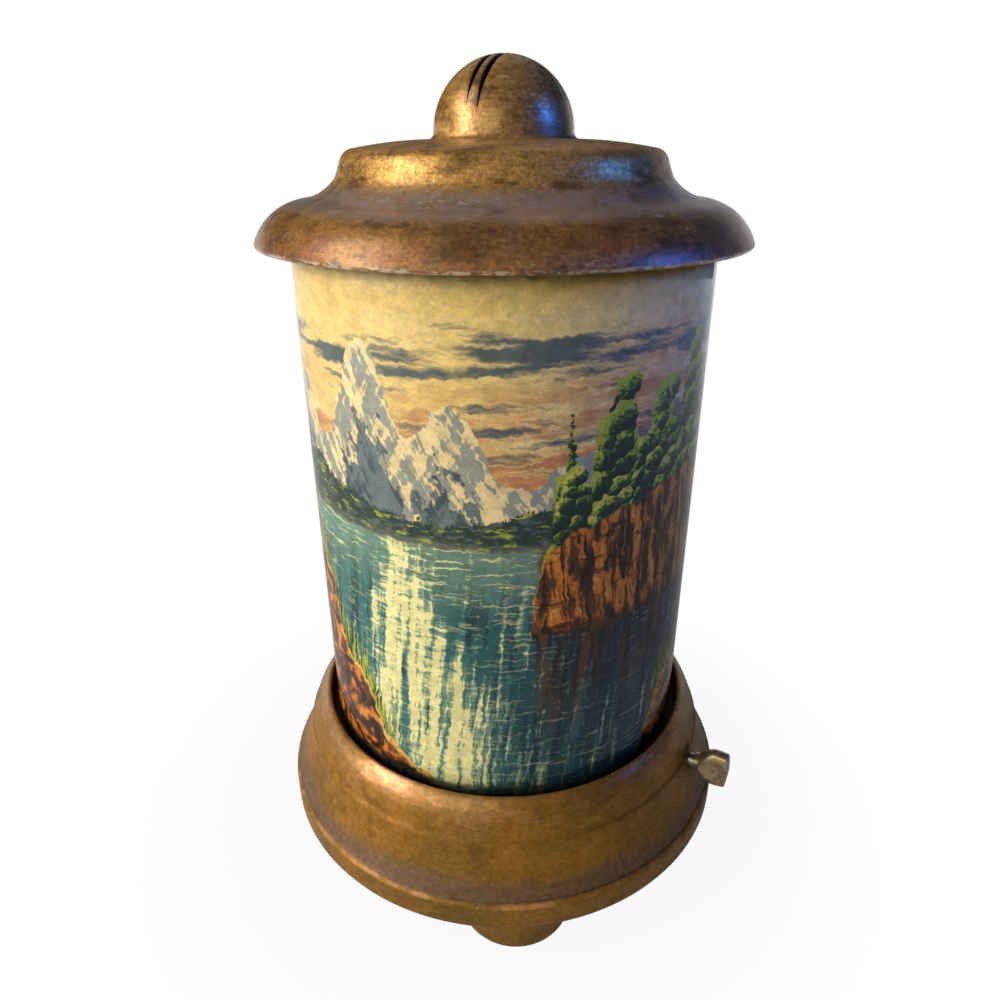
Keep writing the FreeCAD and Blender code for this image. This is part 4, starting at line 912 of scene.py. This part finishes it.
cap_paint, tree, shader = finish_of("bronze_paint_cap")
spot = place_of(tree)
z = height_of(tree)
colour = coat(tree, step(tree, cloud(tree, spot, 34.0, 4.0, 0.6), 0.38, 0.64), CAP_DARK, CAP_OLIVE)
low = step(tree, z, BRIM_LOW_Z + 0.003, BRIM_LOW_Z - 0.003)
ruddy = step(tree, cloud(tree, place_of(tree, (38, 38, 60)), 1.0, 4.0), 0.44, 0.60, 0.10, 0.85)
colour = coat(tree, both(tree, low, ruddy), colour, CAP_RED)
hands = step(tree, cloud(tree, place_of(tree, (26, 26, 70)), 1.0, 6.0, 0.62), 0.47, 0.64, 0.0, 0.72)
hands = both(tree, hands, step(tree, z, SHOULDER_Z + 0.004, SHOULDER_Z - 0.001))
colour = coat(tree, hands, colour, CAP_PURPLE)
gilded = step(tree, z, SHOULDER_Z, SHOULDER_Z + 0.005, 0.22, 0.80)
flecks = step(tree, cloud(tree, spot, 1500.0, 5.0, 0.7), 0.36, 0.64, 0.45, 1.0)
drift = step(tree, cloud(tree, spot, 42.0, 4.0), 0.36, 0.62, 0.45, 1.0)
gold = both(tree, gilded, both(tree, flecks, drift))
colour = coat(tree, gold, colour, CAP_GOLD)
colour = toned(tree, colour, cloud(tree, place_of(tree, (150, 150, 1500)), 1.0, 4.0, 0.6), 0.86, 1.14)
colour = toned(tree, colour, cloud(tree, spot, 800.0, 5.0, 0.7), 0.66, 1.34)
stains = step(tree, cloud(tree, place_of(tree, (110, 110, 300)), 1.0, 6.0, 0.70), 0.49, 0.66, 0.0, 0.72)
colour = coat(tree, stains, colour, CAP_DARK)
scuffs = both(tree, step(tree, cloud(tree, place_of(tree, (380, 380, 1700)), 1.0, 3.0), 0.60, 0.68),
              step(tree, cloud(tree, spot, 50.0, 3.0), 0.48, 0.60))
colour = coat(tree, maths(tree, "MULTIPLY", scuffs, 0.55), colour, BARE_METAL)
pits = both(tree, chips(tree, spot, CAP_PIT, 0.15), step(tree, cloud(tree, spot, 70.0, 2.0), 0.42, 0.60))
colour = coat(tree, maths(tree, "MULTIPLY", pits, 0.85), colour, SOOT_AND_PAINTED_SHADE)
knocks = step(tree, cloud(tree, place_of(tree, (260, 260, 900)), 1.0, 5.0, 0.70), 0.46, 0.54, 0.0, 0.70)
edge = both(tree, step(tree, z, BRIM_EDGE_Z + 0.0006, BRIM_EDGE_Z - 0.0002), knocks)
colour = coat(tree, edge, colour, BARE_METAL)
dust = maths(tree, "MULTIPLY", specks(tree, spot, CAP_DUST_PITCH, 0.06), 0.8)
colour = coat(tree, dust, colour, DUST)
settled = both(tree, step(tree, z, COVE_LOW_Z - 0.0020, COVE_LOW_Z + 0.0010),
               step(tree, z, COVE_HIGH_Z + 0.0010, COVE_HIGH_Z - 0.0015))
settled = both(tree, settled, step(tree, cloud(tree, spot, 240.0, 5.0, 0.7), 0.34, 0.62, 0.20, 0.60))
colour = coat(tree, settled, colour, CAP_DUSTY)
# Painted shade: the slot walls and the dome's inside are darkened, and they lose the metal's shine.
dome_arm = node(tree, "VectorMath", {0: spot, 1: (0, 0, DOME_Z)}, operation="SUBTRACT").outputs[0]
from_dome = node(tree, "VectorMath", {0: dome_arm}, operation="LENGTH").outputs["Value"]
inside = both(tree, step(tree, from_dome, DOME_R - SLOT_LIP, DOME_R - 3 * SLOT_LIP),
              step(tree, z, DOME_Z - 0.001, DOME_Z))
colour = coat(tree, inside, colour, SOOT_AND_PAINTED_SHADE)
gloss = step(tree, cloud(tree, spot, 240.0, 4.0), 0.3, 0.7, 0.32, 0.46)
gloss = maths(tree, "SUBTRACT", gloss, step(tree, z, DOME_Z - 0.001, DOME_Z + 0.003, 0.0, 0.06))
shine = maths(tree, "ADD", maths(tree, "MULTIPLY", gold, 0.50), 0.26)
shine = maths(tree, "MULTIPLY", shine, maths(tree, "SUBTRACT", 1.0, inside))
on_drum = both(tree, step(tree, z, DRUM_LOW_Z, DRUM_LOW_Z + 0.002),
               step(tree, z, DRUM_HIGH_Z + 0.001, DRUM_HIGH_Z - 0.001))
lacquer = step(tree, on_drum, 0.0, 1.0, 0.42, 0.06)
fill(tree, shader, Base_Color=colour, Roughness=gloss, Metallic=shine, Specular_IOR_Level=0.22,
     Coat_Weight=lacquer, Coat_Roughness=0.30, Coat_IOR=1.5,
     Normal=cast_surface(tree, CAP_RELIEF, 0.16, 0.17))
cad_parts["cap_casting"].data.materials[0] = cap_paint
